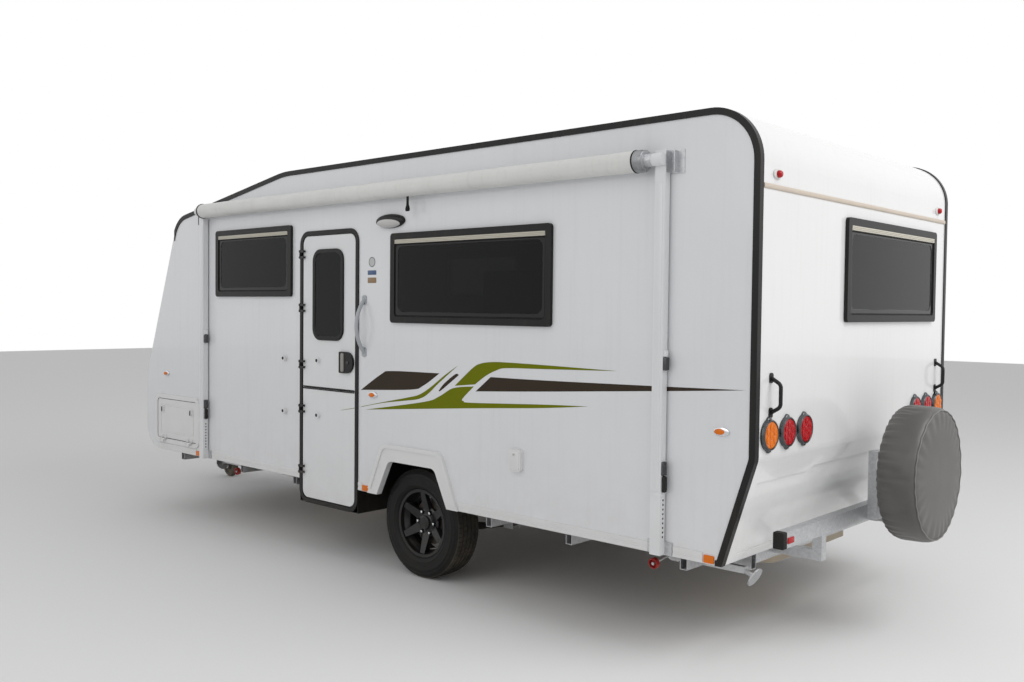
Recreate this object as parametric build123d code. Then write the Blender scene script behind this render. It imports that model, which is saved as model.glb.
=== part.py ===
from build123d import *
import os
from math import atan2, cos, degrees, hypot, radians, sin, sqrt

# Single-axle travel caravan, parked on its road wheels and jockey wheel.
# X runs forward to the drawbar, Y to the door side, Z up; millimetres.
# While it is drawn, the axle is at X = 0, the middle at Y = 0 and the ground at Z = 0.

# Body shell
body_half_width = 1190.0
wall_t = 28.0
skin_t = 30.0
floor_t = 40.0
sill_z = 480.0
roof_z = 2569.0
rear_x = -2275.0
rear_kink_z = 985.0
rear_sill_x = -2115.0
rear_roof_r = 250.0
roof_kink_x = 1340.0
front_top_x = 2795.0
front_top_z = 2329.0
front_x = 3290.0
front_kink_z = 1073.0
front_top_r = 225.0
front_sill_r = 200.0
rear_seam_z = 2210.0
front_seam_x = 2690.0
trim_w = 26.0
trim_proud = 6.0
groove_w = 6.0
groove_d = 4.0
field_d = 8.0
field_half = 1090.0
field_mid_half = 530.0
field_low_z = 520.0
field_z = 867.0
field_mid_z = 889.0
field_slant = 60.0

# Wheels, tyres and axle
tyre_r = 334.0
tyre_w = 205.0
rim_seat_r = 196.0
rim_flange_r = 208.0
rim_w = 168.0
wheel_y = 1027.0
spoke_count = 6
stud_circle_r = 69.85
drum_r = 140.0
spindle_r = 22.0
shaft_gap = 0.3
beam_w = 45.0

# Wheel arch
arch_half_low = 315.0
arch_half_top = 205.0
arch_top_z = 702.0
arch_corner_r = 50.0
flare_w = 62.0
flare_top_w = 104.0
flare_t = 12.0
arch_box_t = 12.0
arch_box_top_z = 790.0

# Entrance door, in two leaves hung at their front edge
door_x_low = 546.0
door_x_high = 1101.0
door_z_low = 362.0
door_z_high = 2118.0
door_split_z = 1106.0
door_window_margin = 129.0
door_window_h = 572.0
door_t = 30.0
door_proud = 4.0
door_corner_r = 60.0
door_gap = 6.0
door_frame_w = 29.0
door_frame_proud = 8.0
door_hinge_out = 22.0
door_hinge_side = 16.0
hinge_pin_r = 5.0
stay_x = 924.0
stay_zs = (1292.0, 928.0)
stay_r = 17.0
stay_out = 26.0
step_well_depth = 300.0
step_well_t = 5.0

# Windows
window_frame_w = 38.0
window_proud = 20.0
pane_t = 6.0

# Tunnel boot doors at the front of both walls
boot_x_low = 2490.0
boot_x_high = 3096.0
boot_z_low = 578.0
boot_z_high = 890.0
boot_frame_w = 34.0
boot_frame_proud = 10.0
boot_hinge_out = 24.0
boot_hinge_drop = 8.0

# Chassis and drawbar
rail_y = 780.0
rail_w = 50.0
rail_h = 100.0
tube_t = 3.0
cross_w = 50.0
cross_h = 75.0
cross_member_xs = (-2035.0, -1250.0, -560.0, 620.0, 1290.0)
# The last two cross members lie between the drawbar's members
drawbar_cross_xs = (2180.0, 2960.0)
outrigger_w = 40.0
outrigger_h = 60.0
outrigger_xs = (-1900.0, -1200.0, -620.0, 1240.0, 1900.0, 2760.0)
rail_x_low = -2060.0
rail_x_high = 3060.0
drawbar_start_x = 2300.0
drawbar_end_x = 4330.0
drawbar_end_y = 62.0
ball_x = 4470.0
ball_z = 482.0
socket_r = 25.4
socket_depth = 42.0
chain_x = 4150.0
chain_drop = 24.0
chain_lug_r = 24.0
chain_lug_t = 10.0
chain_hole_r = 10.0

# Handbrake
brake_x = 3860.0
brake_r = 70.0
brake_lever_l = 330.0
brake_lean = 60.0

# Jockey wheel
jockey_x = 4000.0
jockey_wheel_r = 100.0
jockey_wheel_w = 60.0
jockey_trail = 42.0
jockey_tube_r = 28.0
jockey_leg_r = 24.0
jockey_tube_z_low = 400.0
jockey_tube_z_high = 850.0
jockey_travel = 170.0

# Corner steadies
steady_rear_x = -1700.0
steady_front_x = 2180.0
steady_y = 900.0
steady_pivot_z = 404.0
steady_leg_l = 385.0
steady_swing = 62.0
steady_foot_r = 50.0
steady_foot_clear = 6.0
steady_spindle_r = 8.0

# Rear bumper and spare wheel
bumper_half = 985.0
bumper_x_low = -2320.0
bumper_x_high = -2270.0
bumper_z_low = 558.0
bumper_z_high = 633.0
bumper_arm_y = 560.0
bumper_arm_w = 50.0
post_d = 50.0
hub_reach = 100.0
spare_w = 215.0
spare_r = 352.0
spare_z = 828.0

# Awning
awning_roll_r = 54.0
awning_roll_z = 2357.0
awning_roll_out = 64.0
awning_x_low = -1665.0
awning_x_high = 2300.0
awning_arm_w = 58.0
awning_arm_d = 40.0
awning_arm_out = 10.0
awning_foot_half = 70.0
# Columns: place of the arm along X, top of its wall bracket
awning_arm_table = ((-1786.0, 2403.0), (2345.0, 2368.0))

# Furniture
board_t = 16.0
bed_x_low = 1480.0
bed_half = 760.0
tunnel_x_low = 2440.0
tunnel_top_z = 940.0
kitchen_x_low = -1330.0
fridge_x_low = 610.0
fridge_w = 540.0
fridge_top_z = 1950.0
bench_top_z = 1420.0
worktop_t = 30.0
bench_d = 560.0
side_unit_x_low = -410.0
side_unit_l = 840.0
side_unit_h = 800.0
seat_table = ((-1950.0, -1), (-990.0, 1))
seat_l = 480.0
seat_h = 330.0
seat_d = 600.0
cushion_t = 100.0
back_t = 90.0
back_h = 400.0
table_l = 760.0
table_top_z = 1220.0
table_t = 28.0
mattress_t = 120.0
mattress_l = 1560.0

# Roof fittings
hatch_x = 620.0
hatch_size = 400.0
hatch_frame_h = 30.0
hatch_lid_h = 38.0
cooler_x = -820.0
cooler_l = 980.0
cooler_w = 680.0
cooler_h = 215.0


# Small helpers for drawing
def block(x0, x1, y0, y1, z0, z1):
    """A box between two corners."""
    centre = Pos((x0 + x1) / 2, (y0 + y1) / 2, (z0 + z1) / 2)
    return centre * Box(abs(x1 - x0), abs(y1 - y0), abs(z1 - z0))


def along_y(face, y0, y1):
    """Extrude an outline drawn in X and Z from y0 to y1."""
    return extrude(Plane.XZ.offset(-y0) * face, amount=-(y1 - y0))


def along_x(face, x0, x1):
    """Extrude an outline drawn in Y and Z from x0 to x1."""
    return extrude(Plane.YZ.offset(x0) * face, amount=x1 - x0)


def along_z(face, z0, z1):
    """Extrude an outline drawn in X and Y from z0 to z1."""
    return extrude(Plane.XY.offset(z0) * face, amount=z1 - z0)


def rounded(x0, x1, y0, y1, radius):
    """A rounded rectangle between two corners of its plane."""
    return Pos((x0 + x1) / 2, (y0 + y1) / 2) * RectangleRounded(x1 - x0, y1 - y0, radius)


def corner_rounded(face, corners):
    """Round the named corners of a face, each (x, y, radius)."""
    for x, y, radius in corners:
        corner = face.vertices().sort_by_distance((x, y, 0))[0]
        face = fillet(corner, radius)
    return face


def polygon(points):
    """A face inside a closed run of straight lines."""
    return make_face(Polyline(*points, close=True))


def rod(start, end, radius):
    """A round bar from one point to another."""
    path = Vector(*end) - Vector(*start)
    plane = Plane(origin=start, z_dir=path)
    return extrude(plane * Circle(radius), amount=path.length)


def tube(x0, x1, y0, y1, z0, z1, along):
    """A rectangular hollow section, open at both ends."""
    outer = block(x0, x1, y0, y1, z0, z1)
    ox, oy, oz = (0 if name == along else tube_t for name in "XYZ")
    return outer - block(x0 + ox, x1 - ox, y0 + oy, y1 - oy, z0 + oz, z1 - oz)


def turned(points):
    """Turn a closed (radius, height) outline about Z."""
    return revolve(Plane.XZ * polygon(points), Axis.Z)


def both_sides(piece):
    """A piece of the left side with its mirror image on the right."""
    return [piece, mirror(piece, about=Plane.XZ)]


wheel_seat = Pos(0, wheel_y, tyre_r) * Rot(X=-90)

nodes = {}


def keep(name, pieces):
    """File the solids of one named piece."""
    pieces = pieces if isinstance(pieces, list) else [pieces]
    solids = [solid for piece in pieces for solid in piece.solids()]
    nodes[name] = Compound(children=solids) if len(solids) > 1 else solids[0]


# Side outline of the body, as lines with rounded corners
def body_outline():
    corners = [
        (rear_sill_x, sill_z),
        (rear_x, rear_kink_z),
        (rear_x, roof_z),
        (roof_kink_x, roof_z),
        (front_top_x, front_top_z),
        (front_x, front_kink_z),
        (front_x, sill_z),
    ]
    # Columns: X, Z, corner radius
    rounds = [
        (rear_x, rear_kink_z, 90.0),
        (rear_x, roof_z, rear_roof_r),
        (roof_kink_x, roof_z, 900.0),
        (front_top_x, front_top_z, front_top_r),
        (front_x, front_kink_z, 420.0),
        (front_x, sill_z, front_sill_r),
    ]
    return corner_rounded(polygon(corners), rounds)


outline = body_outline()
inner_y = body_half_width - wall_t
skin_outline = outline - offset(outline, amount=-skin_t, kind=Kind.INTERSECTION)
skin = along_y(skin_outline, -inner_y, inner_y)
far = 9000.0


# Wheel arch opening and its moulded flare
def arch_outline(half_low, half_top, top_z, radius, low_z):
    face = polygon([(-half_low, low_z), (-half_top, top_z), (half_top, top_z), (half_low, low_z)])
    return corner_rounded(face, [(-half_top, top_z, radius), (half_top, top_z, radius)])


arch_opening = arch_outline(arch_half_low, arch_half_top, arch_top_z, arch_corner_r, sill_z)
flare_outer = arch_outline(
    arch_half_low + flare_w + 30.0,
    arch_half_top + flare_w,
    arch_top_z + flare_top_w,
    arch_corner_r + 30.0,
    sill_z,
)
flare_rib = flare_outer - offset(flare_outer, amount=-24.0, kind=Kind.INTERSECTION)
flare_rib = flare_rib & rounded(-far, far, sill_z + 30.0, far, 1.0)
flare = along_y(flare_outer - arch_opening, body_half_width, body_half_width + flare_t)
flare += along_y(flare_rib, body_half_width + flare_t, body_half_width + flare_t + 8.0)
keep("wheel_arch_flares", both_sides(flare))

# Windows: name, wall, centre along the wall, centre Z, width, height, corner radius
window_table = [
    ("left_front", "left", 1712.0, 1960.0, 965.0, 488.0, 22.0),
    ("left_rear", "left", -452.0, 1828.0, 1283.0, 544.0, 22.0),
    ("right_front", "right", 1712.0, 1960.0, 965.0, 488.0, 22.0),
    ("right_rear", "right", -900.0, 1828.0, 1100.0, 544.0, 22.0),
    ("rear", "rear", -345.0, 1866.0, 1265.0, 536.0, 22.0),
]


def on_wall(wall, face, depth_low, depth_high):
    """Extrude a face outward from a wall's outer surface, between two depths."""
    if wall == "left":
        return along_y(face, body_half_width + depth_low, body_half_width + depth_high)
    if wall == "right":
        return along_y(face, -body_half_width - depth_high, -body_half_width - depth_low)
    return along_x(face, rear_x - depth_high, rear_x - depth_low)


window_cuts = {"left": [], "right": [], "rear": []}
frames = []
panes = []
for name, wall, centre, z, width, height, radius in window_table:
    place = Pos(centre, z)
    rim = place * RectangleRounded(width, height, radius)
    sight = place * RectangleRounded(width - 2 * window_frame_w, height - 2 * window_frame_w, radius)
    frames.append(on_wall(wall, rim - sight, 0, window_proud))
    panes.append(on_wall(wall, sight, window_proud / 2 - pane_t, window_proud / 2))
    window_cuts[wall].append(on_wall(wall, sight, -wall_t - skin_t, 5.0))
keep("window_frames", frames)
keep("window_panes", panes)

# Side walls
boot_hole = rounded(
    boot_x_low - door_gap,
    boot_x_high + door_gap,
    boot_z_low - door_gap,
    boot_z_high + door_gap,
    30.0,
)
door_hole = rounded(
    door_x_low - door_gap,
    door_x_high + door_gap,
    door_z_low - door_gap,
    door_z_high + door_gap,
    door_corner_r,
)


def side_wall(wall, holes):
    face = outline - arch_opening
    for hole in holes:
        face = face - hole
    panel = on_wall(wall, face, -wall_t, 0)
    for cut in window_cuts[wall]:
        panel = panel - cut
    return panel


keep("wall_left", side_wall("left", [door_hole, boot_hole]))
keep("wall_right", side_wall("right", [boot_hole]))

# Roof, rear and front skins between the side walls
rear_panel = skin & block(-far, rear_sill_x + skin_t + 6.0, -far, far, sill_z, rear_seam_z)
for cut in window_cuts["rear"]:
    rear_panel = rear_panel - cut
field_side = [(field_half, field_low_z), (field_half, field_z), (field_mid_half + field_slant, field_z)]
field_side += [(field_mid_half, field_mid_z)]
field_outline = polygon(field_side + [(-y, z) for y, z in reversed(field_side)])
field_skin = along_y(outline - offset(outline, amount=-field_d, kind=Kind.INTERSECTION), -inner_y, inner_y)
groove = block(rear_x - 1.0, rear_x + groove_d, -far, far, rear_seam_z - groove_w / 2, rear_seam_z + groove_w / 2)
rear_panel = rear_panel - (field_skin & along_x(field_outline, rear_x - 1.0, rear_sill_x)) - groove
keep("rear_panel", rear_panel)
front_panel = skin & block(front_seam_x, far, -far, far, sill_z, roof_z)
front_panel = front_panel - block(0, front_x - front_sill_r, -far, far, 0, front_kink_z)
front_panel = front_panel - (field_skin & along_x(field_outline, front_x - front_sill_r, front_x + 1.0))
keep("front_panel", front_panel)
hatch_half = hatch_size / 2
hatch_hole = block(hatch_x - hatch_half, hatch_x + hatch_half, -hatch_half, hatch_half, sill_z, far)
roof_panel = skin & block(-far, front_seam_x, -far, far, rear_seam_z, far)
keep("roof_panel", roof_panel - hatch_hole - groove)

# Floor with holes for the wheel boxes and the entrance step, and the boxes themselves
floor = along_y(outline & rounded(-far, far, sill_z, sill_z + floor_t, 1.0), -inner_y, inner_y)
floor = floor - rear_panel - front_panel
arch_box_half = arch_half_low + 75.0
arch_box_y = wheel_y - tyre_w / 2 - 70.0
wheel_boxes = []
for side in (1, -1):
    y0, y1 = sorted((side * arch_box_y, side * inner_y))
    outer = block(-arch_box_half, arch_box_half, y0, y1, sill_z, arch_box_top_z)
    floor = floor - outer
    t = arch_box_t
    y0, y1 = sorted((side * (arch_box_y + t), side * inner_y))
    inner = block(-arch_box_half + t, arch_box_half - t, y0, y1, 0, arch_box_top_z - t)
    wheel_boxes.append(outer - inner)
keep("wheel_boxes", wheel_boxes)
well_x_low = door_x_low - door_gap - door_frame_w
well_x_high = door_x_high + door_gap + door_frame_w
well_y = body_half_width - step_well_depth
floor = floor - block(well_x_low, well_x_high, well_y, inner_y, 0, far)
floor_seams = [-far, -arch_box_half, arch_box_half, well_x_low, well_x_high, far]
floor_boards = [floor & block(x0, x1, -far, far, 0, far) for x0, x1 in zip(floor_seams, floor_seams[1:])]
keep("floor_panel", floor_boards)



# Furniture: board carcasses on the floor, built round the wheel boxes
floor_top = sill_z + floor_t
right_face = bench_d - inner_y
inside = along_y(outline - skin_outline, -inner_y, inner_y)


def carcass(x0, x1, y0, y1, z0, z1):
    """A cupboard of boards, open below."""
    inner = block(x0 + board_t, x1 - board_t, y0 + board_t, y1 - board_t, 0, z1 - board_t)
    return block(x0, x1, y0, y1, z0, z1) - inner


def door_lines(unit, x_places, face_y, z0, z1):
    """Cut the gaps between cupboard doors into a carcass's face."""
    for x in x_places:
        unit = unit - block(x - 2.0, x + 2.0, face_y - 3.0, face_y + 3.0, z0, z1)
    return unit


bench_door_l = (fridge_x_low - kitchen_x_low) / 4
bench_seams = [kitchen_x_low + bench_door_l * k for k in (1, 2, 3)]
board_top_z = bench_top_z - worktop_t
kitchen_low = carcass(kitchen_x_low, fridge_x_low, -arch_box_y, right_face, floor_top, arch_box_top_z)
kitchen_high = carcass(kitchen_x_low, fridge_x_low, -inner_y, right_face, arch_box_top_z, board_top_z)
worktop = block(kitchen_x_low, fridge_x_low, -inner_y, right_face + 18.0, board_top_z, bench_top_z)
sink = rounded(kitchen_x_low + 190.0, kitchen_x_low + 590.0, 110.0 - inner_y, right_face - 90.0, 60.0)
worktop -= along_z(sink, bench_top_z - 26.0, bench_top_z)
fridge_x_high = fridge_x_low + fridge_w
fridge = carcass(fridge_x_low, fridge_x_high, -inner_y, right_face, floor_top, fridge_top_z)
fridge_gap_z = floor_top + 620.0
fridge -= block(fridge_x_low + 24.0, fridge_x_high - 24.0, right_face - 3.0, far, fridge_gap_z, fridge_gap_z + 4.0)
bed_base = carcass(bed_x_low, tunnel_x_low, -bed_half, bed_half, floor_top, tunnel_top_z)
shelf_z = tunnel_top_z - board_t
bulkhead = block(tunnel_x_low, tunnel_x_low + board_t, -inner_y, inner_y, floor_top, shelf_z)
tunnel_shelf = block(tunnel_x_low, far, -inner_y, inner_y, shelf_z, tunnel_top_z) & inside
side_y0 = inner_y - seat_d
side_x_high = side_unit_x_low + side_unit_l
side_top_z = floor_top + side_unit_h
side_low = carcass(side_unit_x_low, side_x_high, side_y0, arch_box_y, floor_top, arch_box_top_z)
side_high = carcass(side_unit_x_low, side_x_high, side_y0, inner_y, arch_box_top_z, side_top_z)
side_seam = [side_unit_x_low + side_unit_l / 2]
furniture = [
    door_lines(kitchen_low, bench_seams, right_face, floor_top + 90.0, arch_box_top_z),
    door_lines(kitchen_high, bench_seams, right_face, arch_box_top_z, board_top_z - 40.0),
    worktop,
    fridge,
    bed_base,
    bulkhead,
    tunnel_shelf,
    door_lines(side_low, side_seam, side_y0, floor_top + 60.0, arch_box_top_z),
    door_lines(side_high, side_seam, side_y0, arch_box_top_z, side_top_z - 60.0),
]
cushions = []
seat_top = floor_top + seat_h
back_z = seat_top + cushion_t
for x, way in seat_table:
    furniture.append(carcass(x, x + seat_l, side_y0, inner_y, floor_top, seat_top))
    cushion = block(x, x + seat_l, side_y0, inner_y, seat_top, back_z)
    cushions.append(fillet(cushion.edges(), 30.0))
    back_x = x if way < 0 else x + seat_l - back_t
    back = block(back_x, back_x + back_t, side_y0, inner_y, back_z, back_z + back_h)
    cushions.append(fillet(back.edges(), 30.0))
table_x = (seat_table[0][0] + seat_table[1][0] + seat_l) / 2
table_y0 = side_y0 - 40.0
table_leg_y = table_y0 + 230.0
table_foot_t = 12.0
table_top = rounded(table_x - table_l / 2, table_x + table_l / 2, table_y0, inner_y, 50.0)
furniture.append(along_z(table_top, table_top_z - table_t, table_top_z))
table_foot = (table_x, table_leg_y, floor_top)
leg_foot = (table_x, table_leg_y, floor_top + table_foot_t)
leg_top = (table_x, table_leg_y, table_top_z - table_t)
furniture.append(rod(table_foot, leg_foot, 120.0))
furniture.append(rod(leg_foot, leg_top, 30.0))
mattress_x_high = bed_x_low + mattress_l
mattress = block(bed_x_low, mattress_x_high, -bed_half, bed_half, tunnel_top_z, tunnel_top_z + mattress_t)
cushions.append(fillet(mattress.edges(), 40.0))
keep("furniture", furniture)
keep("cushions", cushions)

# Black frame around the door, with the step well that carries its foot
frame_outer = rounded(
    well_x_low,
    well_x_high,
    door_z_low - door_gap - door_frame_w,
    door_z_high + door_gap + door_frame_w,
    door_corner_r + door_frame_w,
)
door_frame = on_wall("left", frame_outer - door_hole, 0, door_frame_proud)
well_z = door_z_low - door_gap - door_frame_w
well_out = block(well_x_low, well_x_high, well_y, body_half_width, well_z, sill_z + floor_t)
well_in = block(
    well_x_low + step_well_t,
    well_x_high - step_well_t,
    well_y + step_well_t,
    far,
    well_z + step_well_t,
    far,
)
well = well_out - well_in
well = well - block(-far, far, inner_y, far, sill_z, far)
keep("door_frame", door_frame + well)

# Black edge moulding over the rear, roof and front-top edges of each side wall
edge_line = offset(outline, amount=trim_proud, kind=Kind.INTERSECTION)
edge_face = edge_line - offset(outline, amount=-trim_w, kind=Kind.INTERSECTION)
edge_lip = edge_line - outline
trim = along_y(edge_face, body_half_width, body_half_width + trim_proud)
trim += along_y(edge_lip, inner_y, body_half_width)
trim = trim & block(-far, front_top_x + 40.0, 0, far, sill_z, far)
trim = trim - block(rear_sill_x + trim_w + 2.0, far, 0, far, 0, front_top_z - 400.0)
keep("edge_trim", both_sides(trim))

# Boot door frames and boot doors, hinged at their lower edge
boot_rim = rounded(
    boot_x_low - door_gap - boot_frame_w,
    boot_x_high + door_gap + boot_frame_w,
    boot_z_low - door_gap - boot_frame_w,
    boot_z_high + door_gap + boot_frame_w,
    30.0 + boot_frame_w,
)
boot_frame = on_wall("left", boot_rim - boot_hole, 0, boot_frame_proud)
boot_hinge_y = body_half_width + boot_hinge_out
boot_hinge_z = boot_z_low - boot_hinge_drop
boot_face = rounded(boot_x_low, boot_x_high, boot_z_low, boot_z_high, 25.0)
boot_lid = on_wall("left", boot_face, -wall_t, door_proud)
boot_centre_x = (boot_x_low + boot_x_high) / 2
boot_press = offset(boot_face, amount=-42.0) - offset(boot_face, amount=-56.0)
boot_lid -= on_wall("left", boot_press, door_proud - 3.0, door_proud)
for x in (boot_x_low + 82.0, boot_x_high - 82.0):
    boot_lid += on_wall("left", Pos(x, boot_z_high - 82.0) * RectangleRounded(34.0, 58.0, 15.0), 0, door_proud + 5.0)
    boot_lid += on_wall("left", Pos(x, boot_z_high - 82.0) * RectangleRounded(14.0, 44.0, 6.0), 0, door_proud + 14.0)
for offset_x in (-200.0, 200.0):
    x = boot_centre_x + offset_x
    y0 = body_half_width
    pin_y = boot_hinge_y
    ear = block(x - 16.0, x + 16.0, y0 + boot_frame_proud, pin_y, boot_hinge_z - 24.0, boot_hinge_z - 6.5)
    pin_low = rod((x - 40.0, pin_y, boot_hinge_z), (x + 40.0, pin_y, boot_hinge_z), hinge_pin_r)
    cheek = block(x - 16.0, x + 16.0, pin_y - 4.0, pin_y + 4.0, boot_hinge_z - 24.0, boot_hinge_z)
    boot_frame += ear + cheek + pin_low
    for side in (-1, 1):
        hole = Circle(hinge_pin_r + 4.0) - Circle(hinge_pin_r + shaft_gap)
        ring = Plane.YZ.offset(x + side * 29.0 - 9.0) * Pos(pin_y, boot_hinge_z) * hole
        knuckle = extrude(ring, amount=18.0)
        x0 = x + side * 29.0 - 9.0
        strap = block(x0, x0 + 18.0, y0 + door_proud, pin_y, boot_hinge_z + 6.0, boot_hinge_z + 30.0)
        strap = strap - block(x0, x0 + 18.0, y0 + 12.0, pin_y, boot_hinge_z + 9.0, boot_hinge_z + 60.0)
        boot_lid += knuckle + strap
keep("boot_frames", both_sides(boot_frame))
keep("boot_lid_left", boot_lid)
keep("boot_lid_right", mirror(boot_lid, about=Plane.XZ))

# Door leaves, with the window hole, hung on pins outside the front edge of the frame
door_hinge_x = door_x_high + door_hinge_side
door_hinge_y = body_half_width + door_hinge_out
leaf_face = rounded(door_x_low, door_x_high, door_z_low, door_z_high, door_corner_r - door_gap)
upper_face = leaf_face & rounded(0, far, door_split_z + door_gap / 2, far, 1.0)
lower_face = leaf_face & rounded(0, far, 0, door_split_z - door_gap / 2, 1.0)
door_window_hole = rounded(
    door_x_low + door_window_margin,
    door_x_high - door_window_margin,
    door_z_high - 104.0 - door_window_h,
    door_z_high - 104.0,
    62.0,
)
upper_leaf = on_wall("left", upper_face - door_window_hole, -door_t, door_proud)
lower_leaf = on_wall("left", lower_face, -door_t, door_proud)
door_hinge_zs = (550.0, 960.0, 1260.0, 1640.0, 2000.0)
for z in door_hinge_zs:
    pin = rod((door_hinge_x, door_hinge_y, z - 30.0), (door_hinge_x, door_hinge_y, z + 30.0), hinge_pin_r)
    x0 = door_hinge_x
    cheek = block(x0 - 4.0, x0 + 4.0, body_half_width, door_hinge_y, z - 12.0, z + 12.0)
    door_frame_hinge = pin + cheek
    nodes["door_frame"] = nodes["door_frame"] + door_frame_hinge
    for side in (-1, 1):
        z0 = z + side * 20.0 - 7.0
        hole = Circle(hinge_pin_r + 4.0) - Circle(hinge_pin_r + shaft_gap)
        ring = along_z(Pos(door_hinge_x, door_hinge_y) * hole, z0, z0 + 14.0)
        arm = block(x0 - 40.0, x0 - 6.0, door_hinge_y - 4.0, door_hinge_y + 4.0, z0, z0 + 14.0)
        foot = block(x0 - 40.0, x0 - 32.0, body_half_width + door_proud, door_hinge_y, z0, z0 + 14.0)
        if z > door_split_z:
            upper_leaf += ring + arm + foot
        else:
            lower_leaf += ring + arm + foot

# Stay buttons on the leaves, which meet the wall's sockets when the door lies open
for z in stay_zs:
    button = on_wall("left", Pos(stay_x, z) * Circle(stay_r), door_proud, stay_out)
    if z > door_split_z:
        upper_leaf += button
    else:
        lower_leaf += button
keep("door_upper_leaf", upper_leaf)
keep("door_lower_leaf", lower_leaf)
pane_lip = 14.0
pane_outer = offset(door_window_hole, amount=pane_lip)
door_window = on_wall("left", door_window_hole, -12.0, door_proud)
door_window += on_wall("left", pane_outer, door_proud, door_proud + 8.0)
keep("door_window", door_window)
lock_face = rounded(562.0, 640.0, 1222.0, 1360.0, 8.0)
lock_face += Pos(636.0, 1291.0) * Circle(69.0) & rounded(630.0, far, 0, far, 1.0)
lock_face = Pos(1256.0, 0) * mirror(lock_face, about=Plane.YZ)
keep("door_lock", on_wall("left", lock_face, door_proud, door_proud + 16.0))

# White fittings on the walls: stay sockets, service inlets and fridge vents
fittings = []
socket_x = 2 * door_hinge_x - stay_x
for z in stay_zs:
    fittings.append(on_wall("left", Pos(socket_x, z) * Circle(stay_r + 3.0), 0, stay_out))
fittings.append(on_wall("left", rounded(-900.0, -812.0, 768.0, 888.0, 18.0), 0, 26.0))
fittings.append(on_wall("right", rounded(-1760.0, -1672.0, 768.0, 888.0, 18.0), 0, 26.0))
fittings.append(on_wall("right", rounded(1240.0, 1328.0, 700.0, 820.0, 18.0), 0, 26.0))
for z in (640.0, 1320.0):
    vent = rounded(fridge_x_low + 20.0, fridge_x_high - 20.0, z, z + 215.0, 16.0)
    fittings.append(on_wall("right", vent, 0, 14.0))
keep("wall_fittings", fittings)


# Handles bent from round bar, bowed out from a wall
def bowed_handle(z0, z1, out, radius, flat):
    """A handle in the plane of out and Z, its feet at out = 0."""
    path = FilletPolyline(
        (0, z0),
        (out, z0 + flat),
        (out, z1 - flat),
        (0, z1),
        radius=min(0.9 * flat, out * 0.7),
    )
    return path, radius


handle_z_low = 1360.0
handle_z_high = 1700.0
handle_bow = 66.0
handle_r = 12.0
handle_path = ThreePointArc(
    (0, handle_z_low), (handle_bow, (handle_z_low + handle_z_high) / 2), (0, handle_z_high)
)
handle_wire = Plane((455.0, body_half_width, 0), x_dir=(0, 1, 0), z_dir=(1, 0, 0)) * handle_path
handle = sweep(Plane(handle_wire @ 0, z_dir=handle_wire % 0) * Circle(handle_r), path=handle_wire)
handle = handle & block(-far, far, body_half_width, far, 0, far)
for z in (handle_z_low + 6.0, handle_z_high - 6.0):
    handle += on_wall("left", Pos(455.0, z) * RectangleRounded(40.0, 60.0, 16.0), 0, 7.0)
keep("grab_handle", handle)

rear_handles = []
rear_handle_y = body_half_width - 138.0
for y in (-rear_handle_y, rear_handle_y):
    path, radius = bowed_handle(1188.0, 1350.0, 50.0, 9.0, 30.0)
    wire = Plane((rear_x, y, 0), x_dir=(-1, 0, 0), z_dir=(0, 1, 0)) * path
    bar = sweep(Plane(wire @ 0, z_dir=wire % 0) * Circle(radius), path=wire)
    bar = bar & block(-far, rear_x, -far, far, 0, far)
    for z in (1190.0, 1348.0):
        bar += on_wall("rear", Pos(y, z) * RectangleRounded(34.0, 46.0, 12.0), 0, 5.0)
    rear_handles.append(bar)
keep("rear_handles", rear_handles)

# Lamps: wall, place along it, Z, width, height, depth, colour node
lamp_z = 1090.0
lamp_pitch = 175.0
outer_lamp_y = body_half_width - 120.0
roof_marker_z = roof_z - rear_roof_r - 49.0
lamp_table = [
    ("rear", outer_lamp_y - 2 * lamp_pitch, lamp_z, 140.0, 140.0, 20.0, "lamps_red"),
    ("rear", outer_lamp_y - lamp_pitch, lamp_z, 140.0, 140.0, 20.0, "lamps_red"),
    ("rear", outer_lamp_y, lamp_z, 140.0, 140.0, 20.0, "lamps_amber"),
    ("rear", outer_lamp_y - 40.0, roof_marker_z, 90.0, 30.0, 16.0, "lamps_red"),
    ("left", 2956.0, 1100.0, 66.0, 34.0, 14.0, "lamps_amber"),
    ("left", 362.0, 1100.0, 66.0, 34.0, 14.0, "lamps_amber"),
    ("left", -2110.0, 1100.0, 66.0, 34.0, 14.0, "lamps_amber"),
    ("left", 2462.0, 502.0, 76.0, 36.0, 5.0, "lamps_amber"),
    ("left", 434.0, 502.0, 60.0, 36.0, 5.0, "lamps_amber"),
    ("left", -2054.0, 504.0, 54.0, 36.0, 5.0, "lamps_amber"),
]
lamps = {"lamps_red": [], "lamps_amber": []}
bezel_w = 9.0
for wall, place, z, width, height, depth, colour in lamp_table:
    if wall == "rear":
        places = [("rear", place), ("rear", -place)]
    else:
        places = [("left", place), ("right", place)]
    for side, along in places:
        radius = min(width, height) / 2 - 0.5 if depth > 5.0 else 4.0
        shape = Pos(along, z) * (
            Circle(width / 2) if width == height else RectangleRounded(width, height, radius)
        )
        lamp = on_wall(side, shape, 0, depth - 8.0 if width == height else depth)
        if width == height:
            lens = on_wall(side, Pos(along, z) * Circle(width / 2 - bezel_w), 0, depth)
            lamp += chamfer(lens.faces().sort_by(Axis.X)[0].edges(), 4.0)
        lamps[colour].append(lamp)
for y in (67.0 - bumper_half, bumper_half - 67.0):
    reflector_z = bumper_z_low + 20.0
    reflector = rounded(y - 30.0, y + 30.0, reflector_z, reflector_z + 28.0, 3.0)
    lamps["lamps_red"].append(along_x(reflector, bumper_x_low - 5.0, bumper_x_low))
keep("lamps_red", lamps["lamps_red"])
keep("lamps_amber", lamps["lamps_amber"])

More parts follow.
